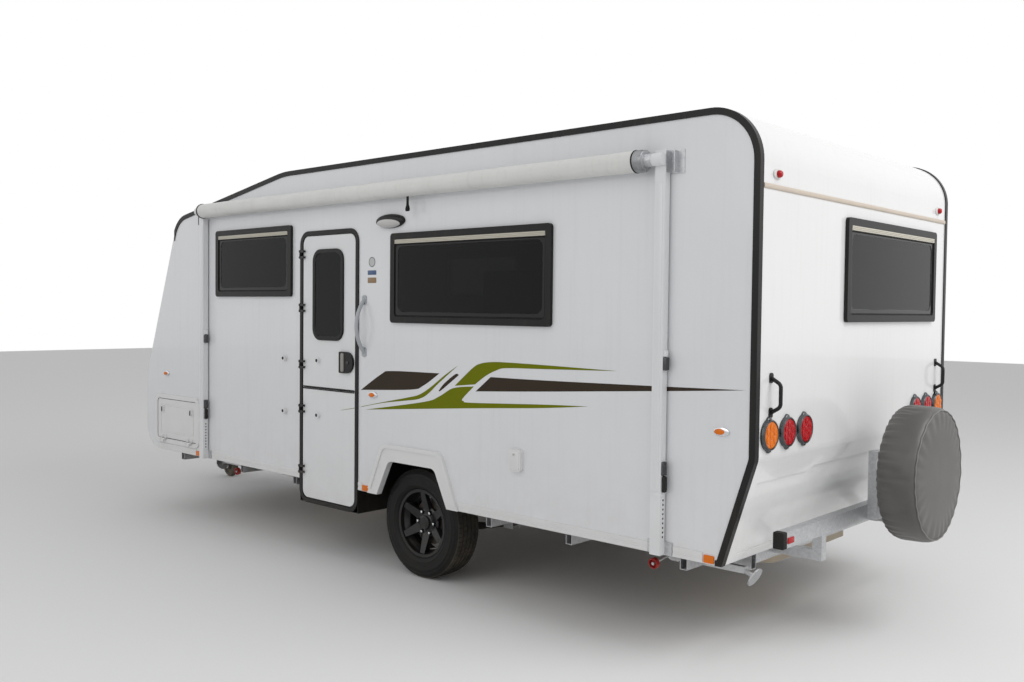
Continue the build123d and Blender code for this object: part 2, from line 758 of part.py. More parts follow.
# Porch lamp over the door's rear side
porch = on_wall("left", Pos(205.0, 2177.0) * RectangleRounded(262.0, 88.0, 42.0), 0, 46.0)
keep("porch_lamp", porch)

# Awning rolled up on its arms
roll_y = body_half_width + awning_roll_out
roll = rod((awning_x_low, roll_y, awning_roll_z), (awning_x_high, roll_y, awning_roll_z), awning_roll_r)
keep("awning_roller", roll)
arms = []
awning_fittings = []
arm_y0 = body_half_width + awning_arm_out
for x, bracket_top in awning_arm_table:
    half = awning_arm_w / 2
    arm = tube(x - half, x + half, arm_y0, arm_y0 + awning_arm_d, 500.0, awning_roll_z - 60.0, "Z")
    arm += block(x - half, x + half, body_half_width, arm_y0 + awning_arm_d, 484.0, 545.0)
    arm += block(x - half, x + half, body_half_width, arm_y0 + awning_arm_d, 2297.0, bracket_top)
    inward = 1 if x < 0 else -1
    arm += rod((x - inward * half, roll_y, awning_roll_z), (x + inward * half, roll_y, awning_roll_z), 30.0)
    arms.append(arm)
    end_x = awning_x_low if x < 0 else awning_x_high
    neck_x = x + inward * half
    casting_l = min(52.0, abs(end_x - neck_x))
    step_x = end_x - inward * casting_l
    casting = rod((end_x, roll_y, awning_roll_z), (step_x, roll_y, awning_roll_z), 48.0)
    if step_x != neck_x:
        casting += rod((step_x, roll_y, awning_roll_z), (neck_x, roll_y, awning_roll_z), 32.0)
    awning_fittings.append(casting)
    foot_x0, foot_x1 = x - awning_foot_half, x + awning_foot_half
    foot = block(foot_x0, foot_x1, body_half_width, body_half_width + 8.0, 484.0, 545.0)
    awning_fittings.append(foot - arm)
    side_x = x - inward * half
    plate_x0, plate_x1 = sorted((side_x, side_x - inward * 76.0))
    plate = block(plate_x0, plate_x1, body_half_width, body_half_width + 4.0, bracket_top - 112.0, bracket_top)
    flange_x0, flange_x1 = sorted((side_x, side_x - inward * 4.0))
    flange_y = arm_y0 + awning_arm_d
    plate += block(flange_x0, flange_x1, body_half_width, flange_y, bracket_top - 106.0, bracket_top - 6.0)
    flange_x0, flange_x1 = sorted((side_x - inward * 38.0, side_x - inward * 42.0))
    plate += block(flange_x0, flange_x1, body_half_width, flange_y - 12.0, bracket_top - 106.0, bracket_top - 6.0)
    awning_fittings.append(plate - nodes["edge_trim"])
keep("awning_arms", arms)
keep("awning_fittings", awning_fittings)

# Chassis: rails, cross members, outriggers, spring hangers and the A-frame drawbar
rail_top = sill_z
rail_low = rail_top - rail_h
rail_in = rail_y - rail_w / 2
rail_out = rail_y + rail_w / 2
chassis = tube(rail_x_low, rail_x_high, rail_in, rail_out, rail_low, rail_top, "X")
chassis += tube(rail_x_low, rail_x_high, -rail_out, -rail_in, rail_low, rail_top, "X")
cross_half = cross_w / 2
for x in (*cross_member_xs, *drawbar_cross_xs):
    x0, x1 = x - cross_half, x + cross_half
    chassis += tube(x0, x1, -rail_in, rail_in, rail_top - cross_h, rail_top, "Y")
for x in outrigger_xs:
    x0, x1 = x - outrigger_w / 2, x + outrigger_w / 2
    for y0, y1 in ((rail_out, inner_y), (-inner_y, -rail_out)):
        chassis += tube(x0, x1, y0, y1, rail_top - outrigger_h, rail_top, "Y")

spring_pad = 6.0
spring_top = tyre_r - beam_w / 2 - spring_pad
spring_half = 450.0
spring_camber = 50.0
leaf_t = 8.0
eye_r = 20.0
spring_w = 60.0
eye_z = spring_top + spring_camber
hanger_t = 6.0
for side in (1, -1):
    for x in (-spring_half, spring_half):
        for edge in (-1, 1):
            y = side * rail_y + edge * (spring_w / 2 + 1.5 + hanger_t / 2)
            ear = block(x - 34.0, x + 34.0, y - hanger_t / 2, y + hanger_t / 2, eye_z - 26.0, rail_low)
            chassis += ear
        mid = side * rail_y
        bridge = block(x - 34.0, x + 34.0, mid - 37.5, mid + 37.5, rail_low - 2.0, rail_low + tube_t)
        chassis += bridge

bar_dx = drawbar_end_x - drawbar_start_x
bar_dy = drawbar_end_y - rail_in
bar_length = hypot(bar_dx, bar_dy)
bar_angle = degrees(atan2(bar_dy, bar_dx))
bar_z = rail_top - rail_h / 2
for side in (1, -1):
    place = Pos(drawbar_start_x, side * rail_in, bar_z) * Rot(Z=side * bar_angle)
    solid = place * Pos(bar_length / 2, 0, 0) * Box(bar_length, rail_w, rail_h)
    hollow = place * Pos(bar_length / 2, 0, 0)
    hollow = hollow * Box(bar_length + 2, rail_w - 2 * tube_t, rail_h - 2 * tube_t)
    member = solid - hollow
    y0, y1 = sorted((side * rail_in, side * far))
    member = member - block(-far, rail_x_high, y0, y1, 0, far)
    for x in drawbar_cross_xs:
        member = member - block(x - cross_half, x + cross_half, -far, far, 0, far)
    chassis += member


def drawbar_y(x):
    """The middle of a drawbar member at a place along X."""
    return rail_in + (x - drawbar_start_x) * bar_dy / bar_dx


tray_x0, tray_x1 = 3400.0, 3740.0
tray_t = 6.0
tray_y = drawbar_y(tray_x1) + 20.0
chassis += block(tray_x0, tray_x1, -tray_y, tray_y, rail_top, rail_top + tray_t)
head_face = polygon([(4180.0, -130.0), (4400.0, -60.0), (4400.0, 60.0), (4180.0, 130.0)])
head_t = 8.0
chassis += along_z(head_face, rail_top, rail_top + head_t)
clamp_y = drawbar_y(jockey_x) + 10.0
clamp = block(jockey_x - 55.0, jockey_x + 55.0, -clamp_y, clamp_y, rail_top, rail_top + head_t)
chassis += clamp - rod((jockey_x, 0, 0), (jockey_x, 0, far), jockey_tube_r)
chain_z = rail_low - chain_drop
lug_face = Pos(chain_x, chain_z) * Circle(chain_lug_r)
lug_face += rounded(chain_x - chain_lug_r, chain_x + chain_lug_r, chain_z, rail_low + tube_t, 1.0)
lug_face -= Pos(chain_x, chain_z) * Circle(chain_hole_r)
for side in (1, -1):
    y = side * drawbar_y(chain_x)
    chassis += along_y(lug_face, y - chain_lug_t / 2, y + chain_lug_t / 2)
keep("chassis", chassis)

# Leaf springs: five leaves on one centre, with an eye at each end
spring_r = (spring_half**2 + spring_camber**2) / (2 * spring_camber)
spring_centre_z = spring_top + spring_r
spring = None
# Half length of each leaf, longest first
for number, half in enumerate((450.0, 400.0, 320.0, 235.0, 150.0)):
    inner = spring_r + number * leaf_t
    ring = Pos(0, spring_centre_z) * (Circle(inner + leaf_t) - Circle(inner))
    leaf = ring & rounded(-half, half, 150.0, eye_z + 20.0, 1.0)
    spring = leaf if spring is None else spring + leaf
for x in (-spring_half, spring_half):
    spring += Pos(x, eye_z) * Circle(eye_r)
spring = along_y(spring, rail_y - spring_w / 2, rail_y + spring_w / 2)
for x in (-spring_half, spring_half):
    spring += rod((x, rail_y - 37.5, eye_z), (x, rail_y + 37.5, eye_z), 8.0)
springs = both_sides(spring)
ears = nodes["chassis"]
keep("leaf_springs", [piece - ears for piece in springs])

# Axle beam with spindles, brake backing plates, spring pads and U-bolts
plate_y = wheel_y - 85.0
half_beam = beam_w / 2
axle = block(-half_beam, half_beam, -plate_y, plate_y, tyre_r - half_beam, tyre_r + half_beam)
pack_low = spring_top - 5 * leaf_t
for side in (1, -1):
    axle += rod((0, side * plate_y, tyre_r), (0, side * (wheel_y + 36.0), tyre_r), spindle_r)
    axle += rod((0, side * plate_y, tyre_r), (0, side * (plate_y + 4.0), tyre_r), drum_r - 2.0)
    y = side * rail_y
    axle += block(-55.0, 55.0, y - 42.0, y + 42.0, spring_top, tyre_r - half_beam)
    axle += block(-60.0, 60.0, y - 48.0, y + 48.0, pack_low - 10.0, pack_low)
    for x in (-38.0, 38.0):
        for edge in (-38.0, 38.0):
            axle += rod((x, y + edge, pack_low - 24.0), (x, y + edge, tyre_r + half_beam + 4.0), 6.0)
        y0, y1 = y - 44.0, y + 44.0
        axle += block(x - 6.0, x + 6.0, y0, y1, tyre_r + half_beam, tyre_r + half_beam + 12.0)
keep("axle_beam", axle - springs[0] - springs[1])


# Road wheels: tyre, alloy rim and brake drum, drawn with outboard along +Z
def tyre_solid():
    half = tyre_w / 2
    bead = rim_seat_r + shaft_gap
    side_mid = (bead + tyre_r) / 2 - 4.0
    shoulder_r = tyre_r - 17.0
    crown = half - 36.0
    bead_z = -rim_w / 2 + 13.0
    lip = (rim_flange_r + 1.5, -rim_w / 2 + 8.0)
    lines = [
        Line((bead, bead_z), lip),
        ThreePointArc(lip, (side_mid, -half), (shoulder_r, -half + 13.0)),
        ThreePointArc((shoulder_r, -half + 13.0), (tyre_r - 4.0, -half + 22.0), (tyre_r, -crown)),
        Line((tyre_r, -crown), (tyre_r, 0)),
        Line((tyre_r, 0), (bead, 0)),
        Line((bead, 0), (bead, bead_z)),
    ]
    half_section = make_face(Curve() + lines)
    section = half_section + mirror(half_section, about=Plane.XZ)
    return revolve(Plane.XZ * section, Axis.Z)


def rim_solid():
    half = rim_w / 2
    seat = rim_seat_r
    barrel = turned(
        [
            (rim_flange_r, half),
            (rim_flange_r - 2.0, half - 6.0),
            (seat, half - 10.0),
            (seat - 3.0, half - 32.0),
            (seat - 22.0, 22.0),
            (seat - 22.0, -18.0),
            (seat - 3.0, -half + 32.0),
            (seat, -half + 10.0),
            (rim_flange_r, -half + 6.0),
            (rim_flange_r, -half),
            (seat - 8.0, -half + 4.0),
            (seat - 11.0, -half + 30.0),
            (seat - 29.0, -20.0),
            (seat - 29.0, 24.0),
            (seat - 11.0, half - 26.0),
            (seat - 6.0, half - 2.0),
        ]
    )
    disc = turned([(40.0, 12.0), (96.0, 12.0), (96.0, 30.0), (84.0, 38.0), (52.0, 40.0), (40.0, 46.0)])
    outer_r = seat - 10.0
    spoke_side = polygon([(60.0, 14.0), (60.0, 38.0), (outer_r, 74.0), (outer_r, 46.0), (110.0, 20.0)])
    spoke_plan = polygon([(50.0, -31.0), (outer_r + 2.0, -19.0), (outer_r + 2.0, 19.0), (50.0, 31.0)])
    spoke = along_y(spoke_side, -40.0, 40.0) & along_z(spoke_plan, 0, 100.0)
    result = barrel + disc
    for number in range(spoke_count):
        result += Rot(Z=360.0 / spoke_count * (number + 0.5)) * spoke
    for number in range(spoke_count):
        angle = radians(360.0 / spoke_count * number)
        x, y = stud_circle_r * cos(angle), stud_circle_r * sin(angle)
        result -= rod((x, y, 24.0), (x, y, 60.0), 15.0)
    return result


def drum_solid():
    bore = spindle_r + shaft_gap
    hub_r = 39.0
    return turned(
        [
            (bore, -70.0),
            (hub_r, -70.0),
            (hub_r, -16.0),
            (drum_r - 12.0, -16.0),
            (drum_r - 12.0, -75.0),
            (drum_r, -75.0),
            (drum_r, -6.0),
            (95.0, 0),
            (95.0, 12.0),
            (hub_r, 12.0),
            (hub_r, 50.0),
            (30.0, 56.0),
            (0, 56.0),
            (0, 41.0),
            (bore, 41.0),
        ]
    )


tyre = wheel_seat * tyre_solid()
rim = wheel_seat * rim_solid()
drum = wheel_seat * drum_solid()
for name, piece in (("tyre", tyre), ("rim", rim), ("brake_drum", drum)):
    keep(name + "_left", piece)
    keep(name + "_right", mirror(piece, about=Plane.XZ))

# Coupling head for a 50 mm ball, with its latch lever
head_z = rail_top + head_t
base = block(4210.0, 4400.0, -40.0, 40.0, head_z, head_z + 10.0)
neck_face = polygon([(4300.0, -34.0), (ball_x, -30.0), (ball_x, 30.0), (4300.0, 34.0)])
neck = along_z(neck_face, head_z, head_z + 40.0)
dome_top = ball_z + 50.0
head = rod((ball_x, 0, ball_z - 26.0), (ball_x, 0, dome_top - 12.0), 43.0)
coupling = base + neck + head
coupling += Pos(ball_x, 0, dome_top - 12.0) * Sphere(43.0) & block(0, far, -far, far, dome_top - 12.0, far)
socket = rod((ball_x, 0, ball_z - 26.0), (ball_x, 0, ball_z - 26.0 + socket_depth), socket_r)
coupling = coupling - socket
lever_face = polygon([(4300.0, head_z + 38.0), (4420.0, head_z + 66.0), (4420.0, 582.0), (4270.0, 560.0)])
coupling += along_y(lever_face, -14.0, 14.0)
keep("coupling", coupling)

# Handbrake lever on the right drawbar member
brake_y = -drawbar_y(brake_x)
brake_face = Pos(brake_x, rail_top) * Circle(brake_r) & rounded(0, far, rail_top, far, 1.0)
handbrake = along_y(brake_face, brake_y - 4.0, brake_y + 4.0)
lean = radians(brake_lean)
lever_x = brake_x + brake_lever_l * cos(lean)
lever_tip = (lever_x, brake_y + 12.0, rail_top + 30.0 + brake_lever_l * sin(lean))
handbrake += rod((brake_x, brake_y + 12.0, rail_top + 30.0), lever_tip, 9.0)
handbrake += rod((brake_x, brake_y - 6.0, rail_top + 30.0), (brake_x, brake_y + 20.0, rail_top + 30.0), 12.0)
handbrake = handbrake - block(-far, far, -far, far, 0, rail_top)
keep("handbrake", handbrake)

# Jockey wheel: clamped tube with its crank, sliding leg, swivelling fork and wheel
tube_low = jockey_tube_z_low
tube_high = jockey_tube_z_high
bore_r = jockey_leg_r + shaft_gap
outer_tube = rod((jockey_x, 0, tube_low), (jockey_x, 0, tube_high), jockey_tube_r)
outer_tube -= rod((jockey_x, 0, tube_low), (jockey_x, 0, tube_high - 12.0), bore_r)
outer_tube += rod((jockey_x, 0, tube_high), (jockey_x, 0, tube_high + 34.0), 10.0)
crank_z = tube_high + 30.0
outer_tube += rod((jockey_x, 0, crank_z), (jockey_x + 115.0, 0, crank_z + 12.0), 8.0)
outer_tube += rod((jockey_x + 110.0, 0, crank_z + 12.0), (jockey_x + 110.0, 0, crank_z + 100.0), 12.0)
keep("jockey_tube", outer_tube)

crown_z = 2 * jockey_wheel_r + 12.0
crown_t = 8.0
leg_low = crown_z + crown_t + shaft_gap
leg_top = tube_high - 12.0 - jockey_travel - 8.0
leg = rod((jockey_x, 0, leg_low), (jockey_x, 0, leg_top), jockey_leg_r)
keep("jockey_leg", leg)

fork_half = jockey_wheel_w / 2 + 6.0
fork_t = 6.0
axle_x = jockey_x - jockey_trail
crown_face = rounded(axle_x - 30.0, jockey_x + 34.0, -fork_half - fork_t, fork_half + fork_t, 14.0)
fork = along_z(crown_face, crown_z, crown_z + crown_t)
fork_side = polygon(
    [
        (axle_x - 28.0, crown_z),
        (axle_x - 20.0, jockey_wheel_r - 8.0),
        (axle_x, jockey_wheel_r - 22.0),
        (axle_x + 20.0, jockey_wheel_r - 8.0),
        (jockey_x + 20.0, crown_z),
    ]
)
for side in (1, -1):
    y0, y1 = sorted((side * fork_half, side * (fork_half + fork_t)))
    fork += along_y(fork_side, y0, y1)
pin_end = fork_half + fork_t + 6.0
fork += rod((axle_x, -pin_end, jockey_wheel_r), (axle_x, pin_end, jockey_wheel_r), 8.0)
keep("jockey_fork", fork)

hub_bore = 8.0 + shaft_gap
small_wheel = turned(
    [
        (hub_bore, -jockey_wheel_w / 2),
        (30.0, -jockey_wheel_w / 2),
        (34.0, -14.0),
        (62.0, -14.0),
        (70.0, -jockey_wheel_w / 2 + 4.0),
        (88.0, -jockey_wheel_w / 2 + 4.0),
        (jockey_wheel_r, -14.0),
        (jockey_wheel_r, 14.0),
        (88.0, jockey_wheel_w / 2 - 4.0),
        (70.0, jockey_wheel_w / 2 - 4.0),
        (62.0, 14.0),
        (34.0, 14.0),
        (30.0, jockey_wheel_w / 2),
        (hub_bore, jockey_wheel_w / 2),
    ]
)
keep("jockey_wheel", Pos(axle_x, 0, jockey_wheel_r) * Rot(X=-90) * small_wheel)

# Gas bottles on the drawbar tray
bottle_r = 155.0
bottle_h = 500.0
bottle = turned(
    [
        (0, 14.0),
        (95.0, 14.0),
        (112.0, 0),
        (118.0, 0),
        (118.0, 20.0),
        (bottle_r, 70.0),
        (bottle_r, 300.0),
        (120.0, 360.0),
        (60.0, 385.0),
        (60.0, 400.0),
        (22.0, 400.0),
        (22.0, bottle_h - 40.0),
        (0, bottle_h - 40.0),
    ]
)
void = turned(
    [
        (0, 18.0),
        (100.0, 18.0),
        (116.0, 24.0),
        (bottle_r - 4.0, 72.0),
        (bottle_r - 4.0, 299.0),
        (118.0, 356.0),
        (56.0, 381.0),
        (0, 381.0),
    ]
)
bottle = bottle - void
collar = turned([(96.0, 360.0), (101.0, 360.0), (101.0, bottle_h), (96.0, bottle_h)])
collar = collar - void
collar = collar - block(-40.0, 40.0, -far, far, 430.0, bottle_h - 22.0)
bottle_x = (tray_x0 + tray_x1) / 2
bottles = []
for y in (-bottle_r - 5.0, bottle_r + 5.0):
    bottles.append(Pos(bottle_x, y, rail_top + tray_t) * (bottle + collar))
keep("gas_bottles", bottles)

# Water tanks slung between the rails: X from, X to, half width, bottom Z
tanks = []
for x0, x1, half_y, low_z in ((1340.0, 2130.0, 700.0, 330.0), (-1995.0, -1290.0, 480.0, 335.0)):
    tank = along_z(rounded(x0, x1, -half_y, half_y, 80.0), low_z, rail_top)
    tank = tank - nodes["chassis"]
    tanks.append(tank)
keep("water_tanks", tanks)

# Bumper bar on two arms, with the spare wheel's post and hub plate
bumper = tube(bumper_x_low, bumper_x_high, -bumper_half, bumper_half, bumper_z_low, bumper_z_high, "Y")
for y in (-bumper_arm_y, bumper_arm_y):
    y0, y1 = y - bumper_arm_w / 2, y + bumper_arm_w / 2
    bumper += block(bumper_x_low, rail_x_low, y0, y1, rail_top - 50.0, rail_top)
    bumper += block(bumper_x_low, bumper_x_high, y0, y1, rail_top, bumper_z_low)
post_x = bumper_x_low - post_d
spare_x_high = post_x - hub_reach
bumper += block(post_x, bumper_x_low, -40.0, 40.0, bumper_z_low, spare_z + 90.0)
hub_plate = rod((post_x, 0, spare_z), (spare_x_high, 0, spare_z), 70.0)
bumper += hub_plate
keep("bumper_bar", bumper)
cover = turned(
    [
        (0, 0),
        (spare_r - 30.0, 0),
        (spare_r - 6.0, 24.0),
        (spare_r, spare_w / 2),
        (spare_r - 10.0, spare_w - 34.0),
        (spare_r - 40.0, spare_w - 8.0),
        (0, spare_w),
    ]
)
keep("spare_cover", Pos(spare_x_high, 0, spare_z) * Rot(Y=-90) * cover)

# Corner steadies: a bracket with a pin, and a leg that swings down to its foot
steady_foot_drop = steady_pivot_z - steady_foot_clear - steady_leg_l * sin(radians(steady_swing))


def steady_pieces():
    """A rear left steady about its pivot at the origin, its leg along -X."""
    ear_t = 5.0
    ear_half = 22.0
    bracket = None
    up = rail_top - steady_pivot_z
    for side in (-1, 1):
        y = side * (ear_half + ear_t / 2)
        low_edge = [(-70.0, 12.0), (-20.0, -22.0), (20.0, -22.0), (110.0, 20.0)]
        profile = polygon([(-70.0, up), *low_edge, (110.0, up)])
        ear = along_y(profile, y - ear_t / 2, y + ear_t / 2)
        bracket = ear if bracket is None else bracket + ear
    bracket += block(-70.0, 110.0, -ear_half - ear_t, ear_half + ear_t, up - 6.0, up)
    bracket += rod((0, -ear_half - 9.0, 0), (0, ear_half + 9.0, 0), 8.0)
    spindle_start = Vector(40.0, -ear_half - 9.0, 8.0)
    spindle_end = Vector(40.0, 165.0, -18.0)
    bracket += rod(spindle_start, spindle_end, steady_spindle_r)
    along = Plane(origin=spindle_end, z_dir=spindle_start - spindle_end)
    guide = extrude(along * RegularPolygon(28.0, 8), amount=24.0)
    guide -= extrude(along * RegularPolygon(23.0, 8), amount=20.0)
    guide -= extrude(along * Circle(steady_spindle_r + shaft_gap), amount=24.0)
    leg_side = polygon([(-steady_leg_l, -16.0), (0, -16.0), (0, 16.0), (-steady_leg_l, 16.0)])
    leg_side = leg_side + Circle(16.0) - Circle(8.0 + shaft_gap)
    leg = along_y(leg_side, -15.0, 15.0)
    swing = radians(steady_swing)
    down = (-sin(swing), -cos(swing))
    foot_x = -steady_leg_l + down[0] * steady_foot_drop
    foot_z = down[1] * steady_foot_drop
    leg += rod((-steady_leg_l + 18.0, 0, 0), (foot_x, 0, foot_z), 12.0)
    pad_top = (foot_x - down[0] * 8.0, 0, foot_z - down[1] * 8.0)
    leg += rod(pad_top, (foot_x, 0, foot_z), steady_foot_r)
    return bracket, leg, guide


bracket, leg, guide = steady_pieces()
brackets = []
guides = []
# Name, pivot X, side of the body, way the leg points
steady_table = [
    ("rear_left", steady_rear_x, 1, -1),
    ("rear_right", steady_rear_x, -1, -1),
    ("front_left", steady_front_x, 1, 1),
    ("front_right", steady_front_x, -1, 1),
]
for name, x, side, way in steady_table:
    pieces = [bracket, leg, guide]
    if way > 0:
        pieces = [mirror(piece, about=Plane.YZ) for piece in pieces]
    if side < 0:
        pieces = [mirror(piece, about=Plane.XZ) for piece in pieces]
    place = Pos(x, side * steady_y, steady_pivot_z)
    brackets.append(place * pieces[0])
    keep("steady_leg_" + name, place * pieces[1])
    guides.append(place * pieces[2])
keep("steady_brackets", [piece - nodes["chassis"] for piece in brackets])
keep("steady_guides", guides)

# Roof hatch with its lid, and the roof cooler
frame_half = hatch_half + 40.0
frame_x0, frame_x1 = hatch_x - frame_half, hatch_x + frame_half
hatch_frame = block(frame_x0, frame_x1, -frame_half, frame_half, roof_z, roof_z + hatch_frame_h)
hatch_frame = hatch_frame - hatch_hole
hinge_x = hatch_x + frame_half - 6.0
hinge_z = roof_z + hatch_frame_h + 14.0
for y in (-120.0, 120.0):
    ear = block(hinge_x - 6.0, hinge_x + 6.0, y - 12.0, y + 12.0, roof_z + hatch_frame_h, hinge_z)
    hatch_frame += ear + rod((hinge_x, y - 30.0, hinge_z), (hinge_x, y + 30.0, hinge_z), hinge_pin_r)
keep("roof_hatch_frame", hatch_frame)
lid_low = roof_z + hatch_frame_h + door_gap
lid_x1 = hinge_x - 12.0
lid = block(hatch_x - frame_half, lid_x1, -frame_half, frame_half, lid_low, lid_low + hatch_lid_h)
lid = fillet(lid.faces().sort_by(Axis.Z)[-1].edges(), 14.0)
for y in (-120.0, 120.0):
    for side in (-1, 1):
        y0 = y + side * 22.0 - 8.0
        ring_face = Pos(hinge_x, hinge_z) * (Circle(hinge_pin_r + 4.0) - Circle(hinge_pin_r + shaft_gap))
        lid += along_y(ring_face, y0, y0 + 16.0)
        lid += block(lid_x1 - 4.0, hinge_x - hinge_pin_r - 1.0, y0, y0 + 16.0, hinge_z - 4.0, hinge_z + 4.0)
keep("roof_hatch_lid", lid)
cooler = block(
    cooler_x - cooler_l / 2,
    cooler_x + cooler_l / 2,
    -cooler_w / 2,
    cooler_w / 2,
    roof_z,
    roof_z + cooler_h,
)
cooler = fillet(cooler.edges().filter_by(Axis.Z), 90.0)
cooler = fillet(cooler.faces().sort_by(Axis.Z)[-1].edges(), 50.0)
keep("roof_cooler", cooler)

# Shift to the middle of the whole vehicle's box, and write one file for each piece
boxes = [piece.bounding_box() for piece in nodes.values()]
mid_x = (min(box.min.X for box in boxes) + max(box.max.X for box in boxes)) / 2
mid_y = (min(box.min.Y for box in boxes) + max(box.max.Y for box in boxes)) / 2
to_origin = Pos(-mid_x, -mid_y, 0)
os.makedirs("parts", exist_ok=True)
for name, piece in nodes.items():
    export_step(to_origin * piece, "parts/" + name + ".step")
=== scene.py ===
from math import cos, exp, pi, radians, sin

import bmesh
import bpy
from mathutils import Matrix, Quaternion, Vector


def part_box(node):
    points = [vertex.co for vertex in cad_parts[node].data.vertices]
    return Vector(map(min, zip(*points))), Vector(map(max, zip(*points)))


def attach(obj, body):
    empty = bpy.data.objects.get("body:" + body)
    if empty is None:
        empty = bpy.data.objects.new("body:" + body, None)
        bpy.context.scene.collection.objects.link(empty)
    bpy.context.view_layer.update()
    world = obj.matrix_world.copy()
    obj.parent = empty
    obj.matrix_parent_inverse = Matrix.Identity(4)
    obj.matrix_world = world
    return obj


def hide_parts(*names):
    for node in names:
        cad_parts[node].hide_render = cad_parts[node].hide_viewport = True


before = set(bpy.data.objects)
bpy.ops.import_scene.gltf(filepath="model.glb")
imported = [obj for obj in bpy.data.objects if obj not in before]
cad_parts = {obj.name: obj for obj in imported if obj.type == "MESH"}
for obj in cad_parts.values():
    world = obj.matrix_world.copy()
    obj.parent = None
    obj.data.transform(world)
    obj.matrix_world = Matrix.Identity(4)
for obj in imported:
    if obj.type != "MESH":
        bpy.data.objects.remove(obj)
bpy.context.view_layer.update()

# Camera: it stands behind the caravan's rear corner on the door side, at eye height, and looks
# forward along the wall. Heading is measured from straight ahead, drop below level, roll about the view.
camera_place = (-5.287, 5.049, 1.650)
camera_heading = radians(-47.58)
camera_drop = radians(1.91)
camera_roll = radians(0.61)
camera_lens = 34.14
level_share = cos(camera_drop)
look = Vector((cos(camera_heading) * level_share, sin(camera_heading) * level_share, -sin(camera_drop)))
camera_data = bpy.data.cameras.new("camera")
camera_data.lens = camera_lens
camera_data.sensor_width = 36.0
camera = bpy.data.objects.new("camera", camera_data)
camera.location = camera_place
camera.rotation_mode = "QUATERNION"
camera.rotation_quaternion = look.to_track_quat("-Z", "Y") @ Quaternion((0, 0, 1), camera_roll)
bpy.context.collection.objects.link(camera)
bpy.context.scene.camera = camera

# Side walls: aluminium-faced sandwich panels, glued and screwed to the frame, their gloss white skin
# printed through a little where the frame lies behind. Places on them are given about the axle.
wheel_low, wheel_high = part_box("tyre_left")
axle_x = (wheel_low[0] + wheel_high[0]) / 2
left_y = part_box("wall_left")[1][1]
right_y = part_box("wall_right")[0][1]
middle_y = (left_y + right_y) / 2
ROOT = "caravan"


def wall_point(side, x, z, out=0.0):
    """A point on a side wall, x forward of the axle, z above the ground, out from its skin."""
    return Vector((axle_x + x, left_y + out if side == "left" else right_y - out, z))


def at(x, y, z):
    """A point x forward of the axle, y to the left of the middle and z above the ground."""
    return Vector((axle_x + x, middle_y + y, z))


def node(tree, kind, inputs=(), **settings):
    """Add a shader node, with its settings, and its inputs as values or as sockets to link."""
    made = tree.nodes.new("ShaderNode" + kind)
    for key, value in settings.items():
        setattr(made, key, value)
    for key, value in dict(inputs).items():
        if isinstance(value, bpy.types.NodeSocket):
            tree.links.new(value, made.inputs[key])
        else:
            made.inputs[key].default_value = value
    return made


def calc(tree, operation, *values, **settings):
    """The result of a Math node."""
    return node(tree, "Math", dict(enumerate(values)), operation=operation, **settings).outputs[0]


def tint(tree, share, low, high):
    """The colour that lies between two, at a share that changes over the surface."""
    return node(tree, "Mix", {0: share, 6: low, 7: high}, data_type="RGBA").outputs[2]


def effect(name, inputs, outputs):
    """An empty shader group with named inputs, each (label, default), and named outputs."""
    group = bpy.data.node_groups.new(name, "ShaderNodeTree")
    for label, value in inputs:
        kind = "NodeSocketFloat" if isinstance(value, float) else "NodeSocketColor"
        socket = group.interface.new_socket(name=label, in_out="INPUT", socket_type=kind)
        socket.default_value = value
    for label in outputs:
        kind = "NodeSocketColor" if label == "Colour" else "NodeSocketFloat"
        group.interface.new_socket(name=label, in_out="OUTPUT", socket_type=kind)
    return group, group.nodes.new("NodeGroupInput"), group.nodes.new("NodeGroupOutput")


def put_out(group, out, results):
    """Link results to a group's named outputs."""
    for label, socket in results.items():
        group.links.new(socket, out.inputs[label])
    return group


def road_dust_group():
    """Dust thrown up from the road: thick low down, patchy, with run marks from rain."""
    fade_power, dust_dulls = 1.6, 0.5
    group, given, out = effect(
        "road_dust",
        [
            ("Colour", (0.8, 0.8, 0.8, 1.0)),
            ("Dust Colour", (0.36, 0.29, 0.2, 1.0)),
            ("Dust", 0.4),
            ("Reach", 1.2),
            ("Runs", 0.1),
            ("Roughness", 0.4),
        ],
        ["Colour", "Roughness"],
    )
    place = node(group, "TexCoord").outputs["Object"]
    height = node(group, "SeparateXYZ", {"Vector": place}).outputs["Z"]
    reach = given.outputs["Reach"]
    low = node(group, "MapRange", {"Value": height, "From Max": reach, "To Min": 1.0, "To Max": 0.0})
    low = calc(group, "POWER", low.outputs[0], fade_power)
    patches = node(group, "TexNoise", {"Vector": place, "Scale": 7.0, "Detail": 6.0, "Roughness": 0.62})
    patches = node(group, "MapRange", {"Value": patches.outputs["Fac"], "From Min": 0.3, "From Max": 0.72})
    settled = calc(group, "MULTIPLY", low, patches.outputs[0])
    settled = calc(group, "MULTIPLY", settled, given.outputs["Dust"])
    stretched = node(group, "Mapping", {"Vector": place, "Scale": (38.0, 38.0, 1.4)})
    runs = node(group, "TexNoise", {"Vector": stretched.outputs[0], "Scale": 1.0, "Detail": 3.0})
    runs = node(group, "MapRange", {"Value": runs.outputs["Fac"], "From Min": 0.52, "From Max": 0.8})
    runs = calc(group, "MULTIPLY", runs.outputs[0], given.outputs["Runs"])
    mask = calc(group, "ADD", settled, runs, use_clamp=True)
    dusted = tint(group, mask, given.outputs["Colour"], given.outputs["Dust Colour"])
    dull = calc(group, "MULTIPLY_ADD", mask, dust_dulls, given.outputs["Roughness"])
    return put_out(group, out, {"Colour": dusted, "Roughness": dull})


